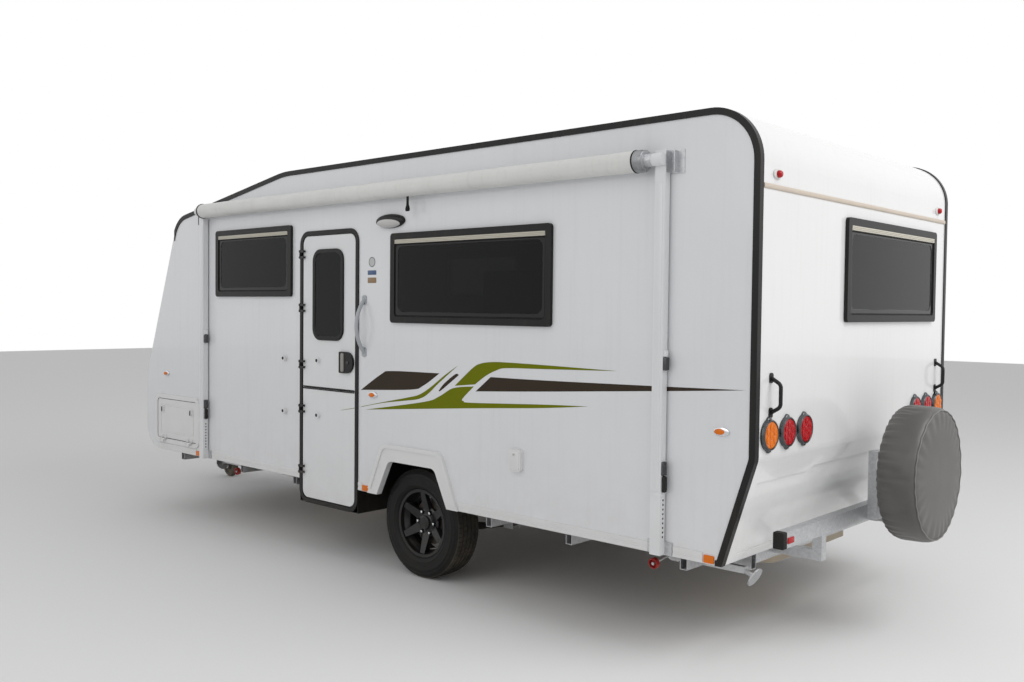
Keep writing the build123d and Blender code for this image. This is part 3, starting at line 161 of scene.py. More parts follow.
def grain_group():
    """A fine moulded or sprayed surface: its height, and a tone that varies around one."""
    group, given, out = effect(
        "grain", [("Scale", 300.0), ("Broad Scale", 6.0), ("Broad Share", 0.3)], ["Height", "Tone"]
    )
    place = node(group, "TexCoord").outputs["Object"]
    fine = node(group, "TexNoise", {"Vector": place, "Scale": given.outputs["Scale"], "Detail": 2.0})
    broad = node(group, "TexNoise", {"Vector": place, "Scale": given.outputs["Broad Scale"], "Detail": 3.0})
    shares = {0: given.outputs["Broad Share"], 2: fine.outputs["Fac"], 3: broad.outputs["Fac"]}
    both = node(group, "Mix", shares, data_type="FLOAT")
    tone = node(group, "MapRange", {"Value": broad.outputs["Fac"], "From Min": 0.2, "From Max": 0.8})
    return put_out(group, out, {"Height": both.outputs[0], "Tone": tone.outputs[0]})


road_dust = road_dust_group()
grain = grain_group()


def use(tree, group, values):
    """Place a group in a material with its own values."""
    return node(tree, "Group", values, node_tree=group)


def blank(name):
    """A new material, with its node tree and its shader."""
    made = bpy.data.materials.new(name)
    made.use_nodes = True
    return made, made.node_tree, made.node_tree.nodes["Principled BSDF"]


def finish(
    name, colour, roughness, dust=0.0, reach=1.2, runs=0.0, dusty=(0.36, 0.29, 0.2), tone=0.06,
    grain_scale=300.0, broad_scale=6.0, broad_share=0.3, bump=0.05, bump_distance=0.001, **shader_values,
):
    """A material whose colour varies a little and gathers dust, over a fine relief."""
    made, tree, shader = blank(name)
    relief = use(tree, grain, {"Scale": grain_scale, "Broad Scale": broad_scale, "Broad Share": broad_share})
    darker = tuple(channel * (1.0 - tone) for channel in colour)
    dirt = use(
        tree,
        road_dust,
        {
            "Colour": tint(tree, relief.outputs["Tone"], (*darker, 1.0), (*colour, 1.0)),
            "Dust Colour": (*dusty, 1.0),
            "Dust": dust,
            "Reach": reach,
            "Runs": runs,
            "Roughness": roughness,
        },
    )
    tree.links.new(dirt.outputs["Colour"], shader.inputs["Base Color"])
    tree.links.new(dirt.outputs["Roughness"], shader.inputs["Roughness"])
    bumps = {"Height": relief.outputs["Height"], "Strength": bump, "Distance": bump_distance}
    raised = node(tree, "Bump", bumps)
    tree.links.new(raised.outputs[0], shader.inputs["Normal"])
    for key, value in shader_values.items():
        shader.inputs[key.replace("_", " ").title().replace("Ior", "IOR")].default_value = value
    return made


def overlay(material, share, colour):
    """Lay a second colour over a finish, under its dust, as far as a share between 0 and 1."""
    tree = material.node_tree
    dirt = next(placed for placed in tree.nodes if placed.type == "GROUP" and placed.node_tree == road_dust)
    laid = tint(tree, share, dirt.inputs["Colour"].links[0].from_socket, (*colour, 1.0))
    tree.links.new(laid, dirt.inputs["Colour"])


def dress(node_names, material):
    """Give CAD pieces their finish."""
    for name in node_names:
        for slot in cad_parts[name].material_slots:
            slot.material = material


def piece(name, mesh, material, body, sharp=35.0):
    """Turn a bmesh into a named object that rides on a body, smooth except at its sharp edges."""
    bmesh.ops.recalc_face_normals(mesh, faces=mesh.faces)
    data = bpy.data.meshes.new(name)
    mesh.to_mesh(data)
    mesh.free()
    data.polygons.foreach_set("use_smooth", [True] * len(data.polygons))
    data.set_sharp_from_angle(angle=radians(sharp))
    data.materials.append(material)
    made = bpy.data.objects.new(name, data)
    bpy.context.collection.objects.link(made)
    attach(made, body)
    return made


white_panel = finish(
    "white_panel", (0.78, 0.79, 0.81), 0.22, dust=0.35, reach=1.1, runs=0.05, tone=0.03,
    grain_scale=90.0, broad_scale=3.0, broad_share=0.85, bump=0.25, bump_distance=0.004, coat_weight=0.3,
)
dress(["wall_left", "wall_right"], white_panel)

# Film stripes: olive and taupe shapes that sweep along each wall, cut from cast vinyl film with sharp
# points and laid on the skin. The right wall's are the left one's, mirrored.
stripe_out = 0.0006
stripe_steps = 6
# Each run goes from one sharp corner to the next, through points (forward of the axle, above the ground)
stripe_table = {
    "taupe_leaf": [
        [(0.488, 1.124), (0.288, 1.235), (0.189, 1.259), (-0.236, 1.267)],
        [(-0.236, 1.267), (-0.097, 1.186), (0.019, 1.155), (0.488, 1.124)],
    ],
    "green_line": [
        [
            (0.500, 1.012), (0.273, 1.056), (0.066, 1.085), (-0.052, 1.103),
            (-0.132, 1.136), (-0.233, 1.211), (-0.390, 1.320),
        ],
        [
            (-0.390, 1.320), (-0.277, 1.256), (-0.166, 1.184), (-0.063, 1.131),
            (0.042, 1.106), (0.273, 1.061), (0.500, 1.015),
        ],
    ],
    "taupe_fleck": [
        [(-0.230, 1.164), (-0.256, 1.171), (-0.398, 1.266)],
        [(-0.398, 1.266), (-0.369, 1.269), (-0.277, 1.210), (-0.230, 1.164)],
    ],
    "green_top": [
        [
            (-0.365, 1.202), (-0.511, 1.313), (-0.573, 1.340), (-0.644, 1.351),
            (-0.753, 1.355), (-1.044, 1.353), (-1.520, 1.346),
        ],
        [
            (-1.520, 1.346), (-1.044, 1.332), (-0.773, 1.324),
            (-0.695, 1.308), (-0.615, 1.274), (-0.528, 1.220),
        ],
        [(-0.528, 1.220), (-0.365, 1.202)],
    ],
    "green_low": [
        [(0.439, 1.002), (-0.098, 1.089), (-0.234, 1.131), (-0.354, 1.188), (-0.520, 1.208)],
        [
            (-0.520, 1.208), (-0.430, 1.133), (-0.440, 1.119),
            (-0.504, 1.114), (-1.047, 1.144), (-1.336, 1.156),
        ],
        [(-1.336, 1.156), (-1.012, 1.123), (-0.494, 1.082), (0.439, 1.002)],
    ],
    "taupe_bar": [
        [(-0.534, 1.181), (-0.650, 1.268)],
        [(-0.650, 1.268), (-1.045, 1.272), (-1.733, 1.285), (-2.223, 1.296)],
        [(-2.223, 1.296), (-1.884, 1.271), (-1.011, 1.211), (-0.534, 1.181)],
    ],
}


def smooth_run(points, steps):
    """Points along a smooth curve through the given ones, without the last."""
    line = []
    for number in range(len(points) - 1):
        a, b, c, d = (Vector(points[min(max(number + k, 0), len(points) - 1)]) for k in (-1, 0, 1, 2))
        bend, twist = 2 * a - 5 * b + 4 * c - d, 3 * b - a - 3 * c + d
        for step in range(steps):
            t = step / steps
            line.append(0.5 * (2 * b + (c - a) * t + bend * t**2 + twist * t**3))
    return line


def film(name, runs, side, out, material, body):
    """A piece of film on a side wall, cut to an outline of smooth runs."""
    outline = [point for run in runs for point in smooth_run(run, stripe_steps)]
    mesh = bmesh.new()
    verts = [mesh.verts.new(wall_point(side, x, z, out)) for x, z in outline]
    face = mesh.faces.new(verts)
    edge = bmesh.ops.extrude_face_region(mesh, geom=[face])["geom"]
    inward = wall_point(side, 0, 0, 0.0001) - wall_point(side, 0, 0, out)
    bmesh.ops.translate(mesh, vec=inward, verts=[v for v in edge if isinstance(v, bmesh.types.BMVert)])
    bmesh.ops.triangulate(mesh, faces=mesh.faces)
    return piece(name, mesh, material, body)


film_gloss = {"roughness": 0.34, "dust": 0.02, "tone": 0.05, "bump": 0.02, "specular_ior_level": 0.08}
stripe_green = finish("stripe_green", (0.160, 0.182, 0.003), **film_gloss)
stripe_taupe = finish("stripe_taupe", (0.046, 0.034, 0.024), **film_gloss)
for side in ("left", "right"):
    for label, runs in stripe_table.items():
        material = stripe_green if label.startswith("green") else stripe_taupe
        film("stripe_" + label + "_" + side, runs, side, stripe_out, material, ROOT)

# The tip of the green line lies on the door's lower leaf, whose skin stands out from the wall
leaf_sliver = [
    [(0.701, 0.977), (0.660, 0.984), (0.552, 1.004)],
    [(0.552, 1.004), (0.552, 1.001), (0.660, 0.982), (0.701, 0.977)],
]
leaf_sliver_out = 0.0048
film("stripe_green_leaf", leaf_sliver, "left", leaf_sliver_out, stripe_green, "door_lower")


# Sill rail: an extruded aluminium strip with a screw groove, painted white. It closes the foot of each
# side wall, between the wheel arch, the door and the boot.
def place_left(x, z, out):
    return wall_point("left", x, z, out)


def place_right(x, z, out):
    return wall_point("right", x, z, out)


def run(mesh, place, x_low, x_high, section):
    """Draw a closed section of (height, out) pairs straight along a wall."""
    low, high = ([mesh.verts.new(place(x, z, out)) for z, out in section] for x in (x_low, x_high))
    for k in range(len(section)):
        after = (k + 1) % len(section)
        mesh.faces.new((low[k], high[k], high[after], low[after]))
    mesh.faces.new(low)
    mesh.faces.new(high)


rail_section = [
    (0.482, 0.0), (0.482, 0.0035), (0.4835, 0.005), (0.499, 0.005), (0.500, 0.003), (0.510, 0.003),
    (0.511, 0.005), (0.529, 0.005), (0.531, 0.0035), (0.531, 0.0),
]
rail_runs = {
    "left": [(-2.020, -1.858), (-1.714, -0.409), (0.470, 0.509), (1.138, 2.273), (2.504, 3.08)],
    "right": [(-2.020, -0.409), (0.470, 2.420), (2.504, 3.08)],
}
sill_white = finish("sill_white", (0.77, 0.77, 0.77), 0.32, dust=0.40, reach=0.8, tone=0.05, bump=0.05)
for side, place in (("left", place_left), ("right", place_right)):
    mesh = bmesh.new()
    for x_low, x_high in rail_runs[side]:
        run(mesh, place, x_low, x_high, rail_section)
    piece("sill_rail_" + side, mesh, sill_white, ROOT, sharp=25)

# Mouldings: the rear, front and roof skins are laid up in gloss fibreglass, then bedded and screwed on
# the walls' edges. Road dust gathers low on them.
white_moulding = finish(
    "white_moulding", (0.8, 0.8, 0.8), 0.18, dust=0.5, reach=0.95, runs=0.05, tone=0.03,
    grain_scale=60.0, broad_scale=1.8, broad_share=0.9, bump=0.12, bump_distance=0.003, coat_weight=0.4,
)
dress(["rear_panel", "front_panel", "roof_panel"], white_moulding)

# Floor: ply sheets butted over the cross members and sealed below against road spray. They show from
# below and through the open door.
floor_ply = finish(
    "floor_ply", (0.2, 0.15, 0.1), 0.75, dust=0.5, reach=0.8, tone=0.3, grain_scale=140.0, bump=0.3
)
dress(["floor_panel"], floor_ply)

# Edge mouldings, window frames and door frame: extruded aluminium in a satin black powder coat. The
# wheel boxes, the lock's case and the rear handles are black plastic with a coarser grain.
black_trim = finish(
    "black_trim", (0.010, 0.010, 0.010), 0.36, dust=0.08, reach=1.2, runs=0.04, tone=0.2, bump=0.12,
    specular_ior_level=0.25,
)
dress(["edge_trim", "window_frames", "door_frame"], black_trim)
black_plastic = finish(
    "black_plastic", (0.011, 0.011, 0.011), 0.45, dust=0.1, tone=0.2, bump=0.2, specular_ior_level=0.3
)
dress(["wheel_boxes", "door_lock", "rear_handles"], black_plastic)


# Windows: bowed panes of tinted acrylic in black frames, painted black round the edge and hung from
# a ribbed pale aluminium rail. Inside, the cassette of a roller blind and its two side guides.
tinted_pane = finish(
    "tinted_pane", (0.045, 0.050, 0.046), 0.03, dust=0.02, tone=0.05, grain_scale=6.0, bump=0.02,
    transmission_weight=1.0, ior=1.25, specular_ior_level=0.2,
)
dress(["window_panes", "door_window"], tinted_pane)


def rounded_outline(x_low, x_high, y_low, y_high, radius, steps=5):
    """Points round a rectangle with rounded corners."""
    radius = min(radius, (x_high - x_low) / 2 - 1e-5, (y_high - y_low) / 2 - 1e-5)
    points = []
    corners = ((x_high, y_high, 1, 1), (x_low, y_high, -1, 1), (x_low, y_low, -1, -1), (x_high, y_low, 1, -1))
    for quarter, (x, y, sx, sy) in enumerate(corners):
        for step in range(steps + 1):
            angle = pi / 2 * (quarter + step / steps)
            points.append((x - sx * radius + radius * cos(angle), y - sy * radius + radius * sin(angle)))
    return points


def plate(mesh, place, box, radius, low, high, edge=0.0015, steps=5):
    """A rounded plate on a surface: box is (x low, x high, y low, y high), low and high its depths."""
    x0, x1, y0, y1 = box
    rings = []
    for inset, depth in ((0.0, low), (0.0, high - edge), (0.3 * edge, high - 0.3 * edge), (edge, high)):
        corner_r = max(radius - inset, 1e-4)
        outline = rounded_outline(x0 + inset, x1 - inset, y0 + inset, y1 - inset, corner_r, steps)
        rings.append([mesh.verts.new(place(x, y, depth)) for x, y in outline])
    skin_between(mesh, rings)
    mesh.faces.new(rings[0])
    mesh.faces.new(rings[-1])


def skin_between(mesh, rings):
    """Join closed rings of the same count, one after the other."""
    for a, b in zip(rings, rings[1:]):
        for k in range(len(a)):
            mesh.faces.new((a[k], a[(k + 1) % len(a)], b[(k + 1) % len(a)], b[k]))


def border(mesh, place, outer, outer_r, inner, inner_r, low, high, edge=0.002, steps=6):
    """A rounded frame on a surface, between two boxes."""
    rings = []
    for box, radius, way, depth in (
        (outer, outer_r, 0, low),
        (outer, outer_r, 0, high - edge),
        (outer, outer_r, 1, high),
        (inner, inner_r, -1, high),
        (inner, inner_r, 0, high - edge),
        (inner, inner_r, 0, low),
        (outer, outer_r, 0, low),
    ):
        x0, x1, y0, y1 = box
        inset = way * edge
        outline = rounded_outline(x0 + inset, x1 - inset, y0 + inset, y1 - inset, radius, steps)
        rings.append([mesh.verts.new(place(x, y, depth)) for x, y in outline])
    skin_between(mesh, rings)
    bmesh.ops.remove_doubles(mesh, verts=mesh.verts, dist=1e-6)


rear_face_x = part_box("rear_panel")[0][0]


def place_rear(y, z, out):
    """A point on the rear face, y to the left of the middle, out from its skin."""
    return Vector((rear_face_x - out, middle_y + y, z))


# Columns: wall, centre along it, centre above the ground, clear width and height
window_places = [
    (place_left, 1.712, 1.960, 0.889, 0.412),
    (place_left, -0.452, 1.828, 1.207, 0.468),
    (place_right, 1.712, 1.960, 0.889, 0.412),
    (place_right, -0.900, 1.828, 1.024, 0.468),
    (place_rear, -0.345, 1.866, 1.189, 0.460),
]
blind_grey = finish("blind_grey", (0.62, 0.61, 0.58), 0.45, tone=0.05, bump=0.1)
# Section of the hinge rail: height below the opening's top edge, and distance out from the wall
hinge_section = [
    (-0.001, 0.0100), (-0.001, 0.0185), (-0.0025, 0.0200), (-0.0085, 0.0205),
    (-0.0100, 0.0180), (-0.0115, 0.0205), (-0.0165, 0.0205), (-0.0180, 0.0180),
    (-0.0195, 0.0205), (-0.0245, 0.0200), (-0.0260, 0.0185), (-0.0260, 0.0100),
]
blinds = bmesh.new()
window_seals = bmesh.new()
pane_borders = bmesh.new()
hinge_rails = bmesh.new()
for place, along, z, width, height in window_places:
    x0, x1, z0, z1 = along - width / 2, along + width / 2, z - height / 2, z + height / 2
    plate(blinds, place, (x0, x1, z1 - 0.052, z1 - 0.002), 0.008, -0.050, -0.012, 0.004)
    plate(blinds, place, (x0 + 0.004, x1 - 0.004, z1 - 0.066, z1 - 0.054), 0.003, -0.046, -0.018, 0.002)
    plate(blinds, place, (x0, x0 + 0.018, z0, z1 - 0.052), 0.003, -0.050, -0.026, 0.002)
    plate(blinds, place, (x1 - 0.018, x1, z0, z1 - 0.052), 0.003, -0.050, -0.026, 0.002)
    border(
        window_seals, place, (x0 + 0.0005, x1 - 0.0005, z0 + 0.0005, z1 - 0.0265), 0.020,
        (x0 + 0.006, x1 - 0.006, z0 + 0.006, z1 - 0.032), 0.016, 0.0101, 0.0150, 0.0015,
    )
    border(
        pane_borders, place, (x0 + 0.0065, x1 - 0.0065, z0 + 0.0065, z1 - 0.0325), 0.016,
        (x0 + 0.026, x1 - 0.026, z0 + 0.030, z1 - 0.044), 0.042, 0.0101, 0.0128, 0.0020, 8,
    )
    run(hinge_rails, place, x0 + 0.003, x1 - 0.003, [(z1 + drop, out) for drop, out in hinge_section])
piece("blind_cassettes", blinds, blind_grey, ROOT, sharp=30)
rubber_black = finish(
    "rubber_black", (0.010, 0.010, 0.010), 0.6, dust=0.1, tone=0.2, bump=0.15, specular_ior_level=0.25
)
piece("window_seals", window_seals, rubber_black, ROOT, sharp=30)
border_paint = finish(
    "border_paint", (0.006, 0.006, 0.006), 0.1, dust=0.02, tone=0.1, bump=0.02, specular_ior_level=0.3
)
piece("window_pane_borders", pane_borders, border_paint, ROOT, sharp=30)
rail_cream = finish("rail_cream", (0.56, 0.53, 0.45), 0.32, tone=0.05, bump=0.05)
piece("window_hinge_rails", hinge_rails, rail_cream, ROOT, sharp=25)

# Entrance door: two foam-filled leaves faced with white moulded skins. The window is bonded outside
# the upper leaf in a black border, rubber lips close the split, and a black D-shaped lock holds both.
white_coat = {
    "colour": (0.78, 0.79, 0.8), "roughness": 0.28, "dust": 0.3, "reach": 1.0, "runs": 0.03,
    "tone": 0.03, "bump": 0.05,
}
door_skin = finish("door_skin", **white_coat)
# The leaves' hinge straps are painted black: they stand on the skin beyond this line, towards the pins
strap_from_x, strap_above_skin, strap_black = 1.076, 0.0052, (0.012, 0.012, 0.012)
tree = door_skin.node_tree
spot = node(tree, "SeparateXYZ", {"Vector": node(tree, "TexCoord").outputs["Object"]})
beyond = calc(tree, "GREATER_THAN", spot.outputs["X"], axle_x + strap_from_x)
proud = calc(tree, "GREATER_THAN", spot.outputs["Y"], left_y + strap_above_skin)
overlay(door_skin, calc(tree, "MULTIPLY", beyond, proud), strap_black)
dress(["door_upper_leaf", "door_lower_leaf"], door_skin)
x0, x1, z0, z1 = 0.675, 0.972, 1.442, 2.014
over_skin, over_pane = 0.0145, 0.012
mesh = bmesh.new()
border(
    mesh, place_left, (x0 - over_skin, x1 + over_skin, z0 - over_skin, z1 + over_skin), 0.0765,
    (x0 + over_pane, x1 - over_pane, z0 + over_pane, z1 - over_pane), 0.052, 0.0121, 0.0155, 0.002, 8,
)
piece("door_window_border", mesh, black_trim, "door_upper", sharp=30)
for leaf, z_low, z_high in (("upper", 1.1092, 1.1162), ("lower", 1.0958, 1.1028)):
    mesh = bmesh.new()
    plate(mesh, place_left, (0.549, 1.098, z_low, z_high), 0.002, 0.0041, 0.0072, 0.001)
    piece("door_lip_" + leaf, mesh, rubber_black, "door_" + leaf, sharp=30)
lock_grey = finish("lock_grey", (0.30, 0.28, 0.26), 0.36, tone=0.1, bump=0.15)
mesh = bmesh.new()
plate(mesh, place_left, (0.640, 0.671, 1.230, 1.352), 0.012, 0.0201, 0.0262, 0.005, 8)
piece("door_lock_paddle", mesh, lock_grey, "door_upper", sharp=30)


def turned(mesh, profile, base, axis, steps=32, closed=False):
    """Turn (radius, height) pairs about an axis through base. A radius of 0 closes the end in a point."""
    axis = Vector(axis).normalized()
    across = axis.orthogonal().normalized()
    other = axis.cross(across)
    rings = []
    for radius, height in profile:
        centre = base + axis * height
        if radius == 0:
            rings.append([mesh.verts.new(centre)] * steps)
            continue
        angles = (2 * pi * k / steps for k in range(steps))
        rings.append([mesh.verts.new(centre + (across * cos(a) + other * sin(a)) * radius) for a in angles])
    if closed:
        rings.append(rings[0])
    for a, b in zip(rings, rings[1:]):
        for k in range(steps):
            corners = (a[k], a[(k + 1) % steps], b[(k + 1) % steps], b[k])
            once = [v for n, v in enumerate(corners) if v not in corners[:n]]
            if len(once) > 2:
                mesh.faces.new(once)


dark_metal = finish("dark_metal", (0.10, 0.10, 0.105), 0.24, dust=0.05, tone=0.1, bump=0.05, metallic=0.9)
out_left = Vector((0, 1, 0))
barrel_profile = [(0.0, 0.0), (0.011, 0.0), (0.011, 0.003), (0.0095, 0.0045), (0.0, 0.0045)]
mesh = bmesh.new()
turned(mesh, barrel_profile, place_left(0.604, 1.291, 0.0201), out_left, 24)
piece("door_lock_barrel", mesh, dark_metal, "door_upper")
# Keyhole: a black slot on the barrel's face, painted shade for the dark inside the key's opening.
mesh = bmesh.new()
plate(mesh, place_left, (0.6025, 0.6055, 1.285, 1.297), 0.001, 0.0247, 0.0250, 0.0002)
piece("door_lock_keyhole_shade", mesh, black_plastic, "door_upper")
# Stays hold the open leaves against the wall: a socket on each leaf meets one on the wall
socket_profile = [(0.0095, 0.0001), (0.011, 0.0012), (0.0085, 0.0016), (0.0075, 0.0003), (0.0, 0.0003)]
socket_out = 0.026
sockets = [
    ("door_upper", 0.924, 1.292), ("door_lower", 0.924, 0.928), (ROOT, 1.310, 1.292), (ROOT, 1.310, 0.928),
]
for body, x, z in sockets:
    mesh = bmesh.new()
    turned(mesh, socket_profile, place_left(x, z, socket_out), out_left, 20)
    piece("door_stay_socket_%s_%d" % (body, round(z * 100)), mesh, black_plastic, body)


# Porch lamp: an oval domed hood moulded in black, screwed to the wall under the awning. A frosted lens is
# let into its lower part.
def oval(mesh, place, centre, half, profile, steps=40):
    """Rings of an oval on a wall: half is (half width, half height), profile (share of it, out)."""
    (x, z), (wide, tall) = centre, half
    rings = []
    for share, out in profile:
        ring = []
        for k in range(steps):
            angle = 2 * pi * k / steps
            spot = place(x + wide * share * cos(angle), z + tall * share * sin(angle), out)
            ring.append(mesh.verts.new(spot))
        rings.append(ring)
    skin_between(mesh, rings)
    mesh.faces.new(rings[0])
    mesh.faces.new(rings[-1])


porch_centre, porch_half = (0.202, 2.177), (0.130, 0.043)
lens_centre, lens_half = (0.202, 2.160), (0.104, 0.0245)
porch_shares = (1.0, 0.97, 0.93, 0.88, 0.80, 0.70, 0.58, 0.44, 0.30, 0.15)


def porch_dome(share):
    """How far the hood stands out, at a share of the way from its middle to its rim."""
    rim_out, dome_rise = 0.012, 0.036
    return rim_out + dome_rise * (1.0 - min(share, 1.0) ** 2.4) ** 0.7


hood_profile = [(1.0, 0.0001)] + [(share, porch_dome(share)) for share in porch_shares]
mesh = bmesh.new()
oval(mesh, place_left, porch_centre, porch_half, hood_profile, 56)
hood = piece("porch_hood", mesh, black_plastic, ROOT, sharp=40)
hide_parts("porch_lamp")


def lens_point(u, v, out):
    """A point of the lens, which lies on the hood's dome."""
    across, up = (u - porch_centre[0]) / porch_half[0], (v - porch_centre[1]) / porch_half[1]
    return place_left(u, v, porch_dome((across**2 + up**2) ** 0.5) + out)


lens_profile = [
    (1.0, -0.0015), (1.0, 0.0008), (0.96, 0.0016), (0.85, 0.0022),
    (0.65, 0.0024), (0.4, 0.0025), (0.15, 0.0025),
]
mesh = bmesh.new()
oval(mesh, lens_point, lens_centre, lens_half, lens_profile, 48)
porch_lens = finish(
    "porch_lens", (0.58, 0.57, 0.56), 0.3, tone=0.08, grain_scale=500.0, bump=0.2, coat_weight=0.4
)
piece("porch_lens", mesh, porch_lens, ROOT, sharp=40)

# Stickers beside the door: a pale disc with a dark rim, over a blue and a tan label. They are thin film,
# pressed on the skin, and all of them are blank.
sticker_x, disc_z, film_t = 0.385, 1.932, 0.0005
sticker_pale = finish("sticker_pale", (0.52, 0.53, 0.53), 0.3, tone=0.05, bump=0.02)
sticker_blue = finish("sticker_blue", (0.05, 0.10, 0.22), 0.3, tone=0.05, bump=0.02)
sticker_tan = finish("sticker_tan", (0.28, 0.18, 0.09), 0.3, tone=0.05, bump=0.02)
disc_profile = [(0.0, 0.0), (0.0325, 0.0), (0.0325, film_t), (0.0, film_t)]
rim_profile = [(0.0270, 0.0), (0.0300, 0.0), (0.0300, 0.0003), (0.0270, 0.0003)]
disc, rim = bmesh.new(), bmesh.new()
turned(disc, disc_profile, place_left(sticker_x, disc_z, 0.0001), out_left, 40)
turned(rim, rim_profile, place_left(sticker_x, disc_z, 0.0006), out_left, 40, closed=True)
piece("sticker_disc", disc, sticker_pale, ROOT)
piece("sticker_rim", rim, black_plastic, ROOT)
for label, material, z, half in (("upper", sticker_blue, 1.866, 0.014), ("lower", sticker_tan, 1.818, 0.017)):
    mesh = bmesh.new()
    box = (sticker_x - 0.042, sticker_x + 0.042, z - half, z + half)
    plate(mesh, place_left, box, 0.005, 0.0001, 0.0006, 0.0002)
    piece("sticker_" + label, mesh, material, ROOT)

# White fittings: the boot doors and their frames, the wheel-arch flares, the service inlets, the hatch's
# frame and the roof unit are moulded in satin white plastic. The hatch's lid is clouded acrylic.
white_plastic = finish("white_plastic", (0.77, 0.77, 0.77), 0.36, dust=0.2, reach=1.0, tone=0.04, bump=0.1)
dress(["boot_frames", "boot_lid_left", "boot_lid_right", "wheel_arch_flares"], white_plastic)
dress(["wall_fittings", "roof_hatch_frame", "roof_cooler"], white_plastic)
hatch_acrylic = finish(
    "hatch_acrylic", (0.6, 0.61, 0.6), 0.2, tone=0.05, bump=0.05, coat_weight=0.3, transmission_weight=0.35
)
dress(["roof_hatch_lid"], hatch_acrylic)

# Service inlets and fridge vents: a flat lid closes each inlet, with a round catch above its middle. Each
# of the two vents on the right wall has a row of louvres moulded across it.
catch_profile = [(0.0, 0.0), (0.008, 0.0), (0.008, 0.002), (0.006, 0.003), (0.0, 0.003)]
mesh = bmesh.new()
louvres = bmesh.new()
for place, x, z in ((place_left, -0.856, 0.828), (place_right, -1.716, 0.828), (place_right, 1.284, 0.760)):
    plate(mesh, place, (x - 0.036, x + 0.036, z - 0.052, z + 0.052), 0.012, 0.0261, 0.0300, 0.003)
    spot = place(x, z + 0.034, 0.0301)
    turned(louvres, catch_profile, spot, spot - place(x, z, 0), 16)
piece("inlet_lids", mesh, white_plastic, ROOT, sharp=30)
vent_x, vent_margin = (0.630, 1.130), 0.03
louvre_count, louvre_pitch, louvre_h = 9, 0.0196, 0.009
for vent_z in (0.640, 1.320):
    for number in range(louvre_count):
        z = vent_z + 0.026 + number * louvre_pitch
        louvre_box = (vent_x[0] + vent_margin, vent_x[1] - vent_margin, z, z + louvre_h)
        plate(louvres, place_right, louvre_box, 0.004, 0.0141, 0.0185, 0.002)
louvre_grey = finish("louvre_grey", (0.5, 0.5, 0.49), 0.5, dust=0.4, tone=0.08, bump=0.1)
piece("vent_louvres", louvres, louvre_grey, ROOT, sharp=30)

# Boot door latches: two black paddles on each lid, set in white bezels at its top corners. They move
# with the lid.
for side, place in (("left", place_left), ("right", place_right)):
    mesh = bmesh.new()
    for x in (2.572, 3.014):
        plate(mesh, place, (x - 0.0055, x + 0.0055, 0.788, 0.828), 0.005, 0.0181, 0.0215, 0.002)
    piece("boot_latches_" + side, mesh, black_plastic, "boot_door_" + side, sharp=30)

# Grab handle beside the door: grey nylon moulded over a steel core, bowed out from the wall and screwed
# to it at both feet.
handle_grey = finish("handle_grey", (0.42, 0.44, 0.46), 0.38, tone=0.05, bump=0.15)
dress(["grab_handle"], handle_grey)

# Awning: white vinyl rolled on an aluminium tube, its last turn ending in a hem. Box arms with
# sliding inner channels hold it between cast heads, black rings and galvanised feet.
awning_vinyl = finish(
    "awning_vinyl", (0.76, 0.76, 0.74), 0.5, runs=0.12, tone=0.08, grain_scale=900.0, bump=0.25
)
roll_low, roll_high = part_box("awning_roller")
roll_y, roll_z = (roll_low[1] + roll_high[1]) / 2, (roll_low[2] + roll_high[2]) / 2
roll_around, roll_along, roll_inset = 72, 90, 0.004
roll_r, layer_t, hem_t = 0.0505, 0.0028, 0.0022
# The last turn ends at hem_turn round the roll, and its hem is the last part of that turn
hem_turn, hem_from = 0.62, 0.955


def on_roll(x, turn, radius):
    """A point about the roll's middle, turned from the door side."""
    return Vector((x, roll_y + radius * cos(2 * pi * turn), roll_z + radius * sin(2 * pi * turn)))


mesh = bmesh.new()
rings = []
for step in range(roll_along + 1):
    x = roll_low[0] + roll_inset + (roll_high[0] - roll_low[0] - 2 * roll_inset) * step / roll_along
    ring = []
    for k in range(roll_around):
        turn = k / roll_around
        since_hem = (turn - hem_turn) % 1.0
        radius = roll_r + layer_t * since_hem
        radius += 0.0005 * sin(7.0 * x + 9.0 * turn) + 0.0004 * sin(23.0 * x - 14.0 * turn)
        if since_hem > hem_from:
            radius += hem_t * sin(pi * (since_hem - hem_from) / (1.0 - hem_from))
        ring.append(mesh.verts.new(on_roll(x, turn, radius)))
    rings.append(ring)
skin_between(mesh, rings)
hollow, core_share = 0.003, 0.4
for ring, way in ((rings[0], 1), (rings[-1], -1)):
    inner = []
    for vert in ring:
        x, y, z = vert.co
        spot = (x + way * hollow, roll_y + (y - roll_y) * core_share, roll_z + (z - roll_z) * core_share)
        inner.append(mesh.verts.new(spot))
    skin_between(mesh, [ring, inner])
    mesh.faces.new(inner)
roll = piece("awning_roll", mesh, awning_vinyl, ROOT, sharp=40)
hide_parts("awning_roller")
ring_w = 0.006
ring_profile = [
    (0.045, 0.0), (0.0545, 0.0), (0.0555, 0.001), (0.0555, 0.005), (0.0545, ring_w), (0.045, ring_w),
]
mesh = bmesh.new()
for x in (roll_low[0], roll_high[0] - ring_w):
    turned(mesh, ring_profile, Vector((x, roll_y, roll_z)), (1, 0, 0), 48, closed=True)
piece("awning_rings", mesh, rubber_black, ROOT, sharp=30)
